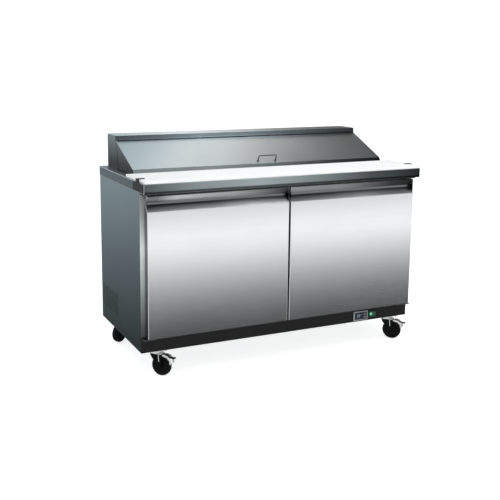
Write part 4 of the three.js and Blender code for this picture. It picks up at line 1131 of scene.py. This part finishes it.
def make_controller():
    low, high = extent("controller_bezel")
    window_low, window_high = extent("display_window")
    up_low, up_high = extent("button_up")
    down_low, down_high = extent("button_down")
    face, back = low.y, low.y + 5.7
    us = [low.x, window_low.x - 0.3, window_high.x + 0.3, up_low.x - 0.4, up_high.x + 0.4, high.x]
    vs = [low.z, window_low.z - 0.3, down_low.z - 0.4, down_high.z + 0.4, up_low.z - 0.4, up_high.z + 0.4,
          window_high.z + 0.3, high.z]

    def is_opening(i, j):
        return (i == 1 and 1 <= j <= 5) or (i == 3 and j in (2, 4))

    mesh = pierced_sheet(us, vs, is_opening, "y", face, back)
    corners = [e for e in mesh.edges if abs(e.verts[0].co.y - e.verts[1].co.y) > 1
               and all(v.co.x in (low.x, high.x) and v.co.z in (low.z, high.z) for v in e.verts)]
    round_edges(mesh, corners, 4, 4)
    edges = [e for e in mesh.edges if len(e.link_faces) == 2 and e.calc_face_angle(0) > 0.6
             and all(abs(v.co.y - face) < 0.01 for v in e.verts)]
    round_edges(mesh, edges, 0.7, 2)
    joined(mesh, rounded_box((low.x + 6, back + 0.1, low.z + 5), (high.x - 6, high.y, high.z - 5), 1.5, 2))
    make("controller_face", mesh, "cabinet", CONTROL_GREY, ["controller_bezel"])
    rim_us, rim_vs = [low.x + 4.5] + us[1:-1] + [high.x - 4.5], [low.z + 4] + vs[1:-1] + [high.z - 4]
    mesh = pierced_sheet(rim_us, rim_vs, is_opening, "y", face - 0.3, face + 0.2)
    make("controller_overlay", mesh, "cabinet", CONTROL_PANEL, weighted=False)
    mesh = rounded_box(window_low, window_high, 0.5, 2)
    make("display_glass", mesh, "cabinet", DISPLAY_DARK, ["display_window"])
    digits = bmesh.new()
    for index, digit in enumerate("38"):
        seven_segment(digits, digit, window_low.x + 8 + index * 13, window_low.z + 6, 8, 13.6, window_low.y - 0.02)
    joined(digits, tube([(window_low.x + 36.5 + 1.9 * c, window_low.y - 0.06, window_low.z + 18 + 1.9 * s)
                         for c, s in circle(20)], 0.5, 6, True))
    make("display_digits", digits, "cabinet", DIGIT_LIGHT, weighted=False)
    for name, points in (("button_up", ((-3, -1.4), (3, -1.4), (0, 2.1))),
                         ("button_down", ((-3, 1.4), (0, -2.1), (3, 1.4)))):
        low, high = extent(name)
        make(f"{name}_cap", rounded_box(low, high, 1.1, 3), name, BUTTON_GREY, [name])
        centre = (low + high) / 2
        arrow = prism([(centre.x + a, centre.z + b) for a, b in points], "y", low.y - 0.02, low.y - 0.3, 0.1, 1)
        make(f"{name}_arrow", arrow, name, CONTROL_GREY, weighted=False)


def make_rocker():
    low, high = extent("switch_housing")
    rim = [(0.2, 3.7), (0, 1.2), (0.4, 0.4), (1.2, 0), (3.2, 0), (3.8, 0.5), (4, 1.2), (4, 18), (2.6, 18), (2.5, 3.7)]
    mesh = frame_sweep(rim, low, high)
    make("switch_frame", mesh, "cabinet", BLACK_PLASTIC, ["switch_housing"], sharp=50)


# ------------------------------------------------------------------ casters
HEADINGS = {"front": math.radians(-50), "rear": math.radians(-145)}


def make_caster(place):
    low, high = extent(f"caster_mount_{place}")
    at = (low + high) / 2
    fixed = Matrix.Translation((at.x, at.y, 0))
    turning = fixed @ Matrix.Rotation(HEADINGS[place.split("_")[0]], 4, "Z")
    top, under = high.z, high.z - 4
    swivel, wheel = f"caster_swivel_{place}", f"caster_wheel_{place}"

    plate = prism(rounded_rectangle(47, 40, 9), "z", under, top, 0.7, 2)
    turned([(0, 112.6), (19, 112.6), (24.5, 113.2), (26.6, 114.6), (27, 116.4), (26.6, 118.2), (25.2, 119.3),
            (25.2, 120.1), (26.6, 121.2), (26.9, 122.6), (26.2, 124.4), (24, under - 0.05), (0, under - 0.05)],
           48, None, plate)
    for x in (-36, 36):
        for y in (-29, 29):
            hexagon(plate, (x, y, under), (0, 0, -1), 11, 4.5)
    make(f"caster_mount_{place}_plate", plate, "cabinet", RACE_METAL, [f"caster_mount_{place}"], place=fixed)

    trail, radius = 30, 50                          # of the wheel: offset behind the swivel, and size
    legs = bmesh.new()
    side = filleted([(-26, 108.2), (-20, 95), (trail - 12, radius - 7), (trail - 9, radius - 14),
                     (trail + 9, radius - 14), (trail + 12, radius - 7), (trail + 9, 84), (trail + 6, 108.2)],
                    [1, 6, 6, 8, 8, 6, 12, 1], 5)
    for y in (17.1, -20):
        joined(legs, prism(side, "y", y, y + 2.9, 0.7, 2))
    crown = filleted([(-26, -20), (trail + 6, -20), (trail + 6, 20), (-26, 20)], [9, 5, 5, 9], 4)
    turned([(0, 99), (8, 99), (9, 100), (9, 106.8), (12, 107.3), (0, 107.3)], 24, None, legs)
    for y, out in ((20, 1), (-20, -1)):
        hexagon(legs, (trail, y, radius), (0, out, 0), 12, 4.2)
        turned(cylinder(8.5, 0, 1.0), 24, pointing((0, out, 0), (trail, y, radius)), legs)
    turned(cylinder(4, -16.9, 16.9), 20, pointing((0, 1, 0), (trail, 0, radius)), legs)
    make(f"caster_fork_{place}_legs", legs, swivel, FORK_METAL, [f"caster_fork_{place}"], place=turning)
    ribs = bmesh.new()
    for y in (-20.2, 20.2):
        joined(ribs, tube([(22, y, 106.5), (22.6, y, 92), (24.5, y, 72)], 1.9, 10))
    joined(ribs, prism(crown, "z", 107.4, 111.8, 1.2, 3))
    make(f"caster_fork_{place}_crown", ribs, swivel, RACE_METAL, place=turning)

    axle = turning @ Matrix.Translation((trail, 0, radius)) @ Matrix.Rotation(math.pi / 2, 4, "X")
    tyre = turned([(37.5, -11), (39, -12.6), (43, -13.9), (46.2, -13.2), (48.4, -11), (49.5, -8), (49.9, -4),
                   (50, 0), (49.9, 4), (49.5, 8), (48.4, 11), (46.2, 13.2), (43, 13.9), (39, 12.6), (37.5, 11),
                   (37.5, -11)], 64)
    make(f"caster_tyre_{place}", tyre, wheel, TYRE, [f"caster_wheel_{place}"], place=axle)
    hub = turned([(4.5, -13.6), (12, -13.9), (13.2, -12.8), (14, -7), (33, -6), (35.5, -9.5), (37.4, -10.8),
                  (37.4, 10.8), (35.5, 9.5), (33, 6), (14, 7), (13.2, 12.8), (12, 13.9), (4.5, 13.6),
                  (4.5, -13.6)], 48)
    for k in range(8):
        rib = rounded_box((13.2, -1.3, -9.5), (34.4, 1.3, 9.5), 0.5, 1)
        rib.transform(Matrix.Rotation(math.pi / 4 * k, 4, "Z"))
        joined(hub, rib)
    make(f"caster_hub_{place}", hub, wheel, HUB_GREY, place=axle)
    if place.startswith("front"):
        make_brake(place, turning)


def make_brake(place, turning):
    x, z = 44, 106                                  # the pedal's pivot
    tread = filleted([(x + 18, -9), (x + 56, -11), (x + 61, -8), (x + 61, 8), (x + 56, 11), (x + 18, 9)],
                     [2, 5, 4, 4, 5, 2], 4)
    pedal = prism(tread, "z", z - 12.4, z - 9.3, 0.8, 2)
    for offset in (32, 38, 44, 50):
        joined(pedal, rounded_box((x + offset, -8, z - 9.5), (x + offset + 2.4, 8, z - 8.2), 0.5, 2))
    joined(pedal, rounded_box((x + 57.4, -8, z - 12), (x + 60.9, 8, z - 8), 1.2, 2))
    root = filleted([(x - 3, z - 3.4), (x + 3, z - 3.4), (x + 20, z - 12.4), (x + 24, z - 9.2), (x + 3, z + 0.9),
                     (x - 3, z + 0.9)], [2, 2, 2, 1, 3, 2], 4)
    joined(pedal, prism(root, "y", -14, 14, 0.5, 2))
    body = f"brake_pedal_{place}"
    make(f"brake_pedal_{place}_tread", pedal, body, BLACK_PLASTIC, [f"brake_pedal_{place}"],
         place=turning)
    arms = bmesh.new()
    cheek = filleted([(x - 4, z + 2), (x + 12, z + 2.5), (x + 26, z - 2), (x + 36, z - 10), (x + 44, z - 20),
                      (x + 47, z - 30), (x + 44, z - 40), (x + 38, z - 44), (x + 36, z - 36), (x + 36, z - 26),
                      (x + 30, z - 18), (x + 18, z - 10), (x - 4, z - 5)],
                     [3, 6, 8, 8, 8, 6, 3, 3, 4, 6, 6, 8, 3], 4)
    for y in (14.5, -16.1):
        joined(arms, prism(cheek, "y", y, y + 1.6, 0.4, 2))
    turned(cylinder(3, -16.6, 16.6), 16, pointing((0, 1, 0), (x, 0, z - 1)), arms)
    make(f"brake_pedal_{place}_arms", arms, body, RACE_METAL, place=turning)


for kept_node, edge_radius, finish, steps in (
        ("lid_liner", 2.5, WHITE_PLASTIC, 3),
        ("lid_hinge", 0, HOOD_BAND, 2),
        ("face_frame", 0.6, STEEL_FRAME, 2),
        ("kick_plate", 0.6, DARK_SHEET, 2),
        ("back_panel", 0.4, GALVANISED, 2),
        ("rear_grille", 0.3, GALVANISED, 2),
        ("bottom_pan", 0.4, GALVANISED, 2),
        ("insulation", 0, FOAM, 2),
        ("pan_rack", 0.5, STEEL_X, 2),
        ("inner_liner", 0.5, STEEL_LINER, 2),
        ("evaporator_cover", 1.2, WHITE_PLASTIC, 3),
        ("condenser_coil", 0.5, FINS, 2),
        ("fan_shroud", 1.0, DARK_SHEET, 2),
        ("rocker_switch", 1.1, LAMP_GREEN, 3)):
    soften(kept_node, edge_radius, finish, steps)
make_worktop()
make_board()
make_hood()
make_lid()
make_lid_handle()
make_kick_screws()
make_back()
make_pans()
make_evaporator()
make_machine()
make_controller()
make_rocker()
for side_sign, side_name in ((-1, "left"), (1, "right")):
    make_bracket(side_sign, side_name)
    make_side(side_sign, side_name)
    make_door(side_sign, side_name)
    make_shelf(side_name)
for corner_name in ("front_left", "front_right", "rear_left", "rear_right"):
    make_caster(corner_name)


# ------------------------------------------------------------------ floor, light and the rest of the room
def make_floor():
    """Plain pale floor, a hair below the wheels."""
    mesh = bmesh.new()
    bmesh.ops.create_grid(mesh, x_segments=1, y_segments=1, size=45)
    data = bpy.data.meshes.new("floor")
    mesh.to_mesh(data)
    mesh.free()
    look = Look("floor_white", (0.82, 0.82, 0.82), 0.9)
    cloud = look.noise((3, 3, 3), 3, 0.5)
    look.feed(Base_Color=look.mix(cloud, (0.81, 0.81, 0.81), (0.83, 0.83, 0.83)))
    look.feed(Emission_Color=(1, 1, 1), Emission_Strength=0.72)
    data.materials.append(look.material)
    floor = bpy.data.objects.new("floor", data)
    floor.location = (0, 0, -0.0005)
    scene.collection.objects.link(floor)
    floor.visible_glossy = False


def soft_box(name, at, towards, width, height, radiance):
    light = bpy.data.lights.new(name, "AREA")
    light.shape = "RECTANGLE"
    light.size, light.size_y = width, height
    light.energy = radiance * math.pi * width * height
    lamp = bpy.data.objects.new(name, light)
    lamp.location = at
    lamp.rotation_mode = "QUATERNION"
    lamp.rotation_quaternion = (Vector(towards) - Vector(at)).to_track_quat("-Z", "Y")
    lamp.visible_camera = False
    scene.collection.objects.link(lamp)


# In front of the table: rise of a direction for each metre forward -> brightness, as of a wide upright card.
FRONT_LEVELS = ((-3, 2.3), (-2.6, 2.1), (-2.0, 0.5), (-1, 0.3), (-0.7, 0.12), (-0.42, 0.05),
                (-0.375, 0.035), (-0.365, 0.044), (-0.355, 0.07), (-0.345, 0.116), (-0.335, 0.191),
                (-0.325, 0.277), (-0.315, 0.369),
                (-0.304, 0.516), (-0.293, 0.657), (-0.282, 0.823), (-0.271, 1.018), (-0.26, 1.232),
                (-0.25, 1.558), (-0.24, 1.951), (-0.23, 2.048), (-0.22, 1.658), (-0.21, 1.098),
                (-0.2, 0.731), (-0.15, 0.8), (0, 0.65), (1.5, 0.55))
# Behind it: height of a direction (sine of its elevation) -> brightness.
REAR_LEVELS = ((-1.0, 0.05), (-0.34, 0.025), (-0.24, 0.16), (-0.15, 0.42), (-0.08, 0.45), (0.0, 0.5), (0.1, 0.9),
               (0.3, 0.9), (0.6, 1.0), (0.85, 1.0), (1.0, 0.8))
# Compass angle behind the table, in degrees from straight back towards +X -> tint, low down and high up.
LOW_TINTS = ((-180, (0.6, 0.6, 0.62)), (-60, (0.75, 0.8, 0.85)), (-25, (0.95, 1.06, 1.12)),
             (-10, (0.9, 1.0, 1.05)), (8, (0.6, 0.68, 0.72)), (15, (0.3, 0.36, 0.38)), (18.5, (0.6, 0.68, 0.72)),
             (21.5, (1.15, 1.15, 1.15)), (24.5, (1.1, 1.1, 1.1)), (28, (0.5, 0.5, 0.5)), (31, (0.16, 0.16, 0.16)),
             (60, (0.2, 0.2, 0.2)), (100, (0.5, 0.5, 0.5)), (180, (0.6, 0.6, 0.62)))
HIGH_TINTS = ((-180, (0.7, 0.7, 0.7)), (0, (0.7, 0.75, 0.78)), (24, (0.42, 0.52, 0.57)), (29, (0.54, 0.67, 0.73)),
              (31, (0.68, 0.79, 0.84)), (34, (1.5, 1.5, 1.47)), (37, (1.2, 1.19, 1.17)), (41, (0.6, 0.59, 0.58)),
              (45, (0.18, 0.175, 0.17)), (50, (0.07, 0.07, 0.07)), (70, (0.2, 0.2, 0.2)),
              (100, (0.6, 0.6, 0.6)), (180, (0.7, 0.7, 0.7)))
FRONT_SLOPES = (-3, 1.5)
STEEPEST = (-3.0, -1.7)             # lowest slope seen by directions almost straight down, and by the rest


def make_world():
    """Surroundings for reflections; the camera itself sees plain white."""
    world = bpy.data.worlds.new("studio")
    scene.world = world
    world.use_nodes = True
    nodes = Nodes(world.node_tree)
    direction = nodes.add("ShaderNodeTexCoord").outputs["Generated"]
    x, y, z = nodes.add("ShaderNodeSeparateXYZ", direction).outputs[:3]
    compass = nodes.math("MULTIPLY", nodes.math("ARCTAN2", x, y), math.degrees(1))
    tint = nodes.mix(nodes.remap(z, 0.3, 0.5), nodes.ramp(compass, LOW_TINTS, -180, 180),
                     nodes.ramp(compass, HIGH_TINTS, -180, 180))
    rear = nodes.mix(1.0, nodes.ramp(z, REAR_LEVELS, -1, 1), tint, "MULTIPLY")
    forward = nodes.math("MAXIMUM", nodes.math("ABSOLUTE", y), 0.02)
    slope = nodes.math("MAXIMUM", nodes.math("DIVIDE", z, forward), nodes.remap(z, -0.93, -0.87, *STEEPEST))
    front = nodes.ramp(slope, FRONT_LEVELS, *FRONT_SLOPES)
    room = nodes.mix(nodes.remap(y, -0.25, 0.15), front, rear)
    seen = nodes.add("ShaderNodeLightPath").outputs["Is Camera Ray"]
    surface = nodes.add("ShaderNodeMixShader", seen, nodes.add("ShaderNodeBackground", room, 1.0).outputs[0],
                        nodes.add("ShaderNodeBackground", (1, 1, 1), 1.05).outputs[0])
    nodes.add("ShaderNodeOutputWorld", surface.outputs[0])


make_floor()
make_world()
soft_box("top_box", (0.3, -0.9, 3.2), (0, 0.0, 0.6), 2.6, 1.8, 3.3)
scene.view_settings.view_transform = "Standard"
scene.view_settings.look = "None"
scene.render.film_transparent = False
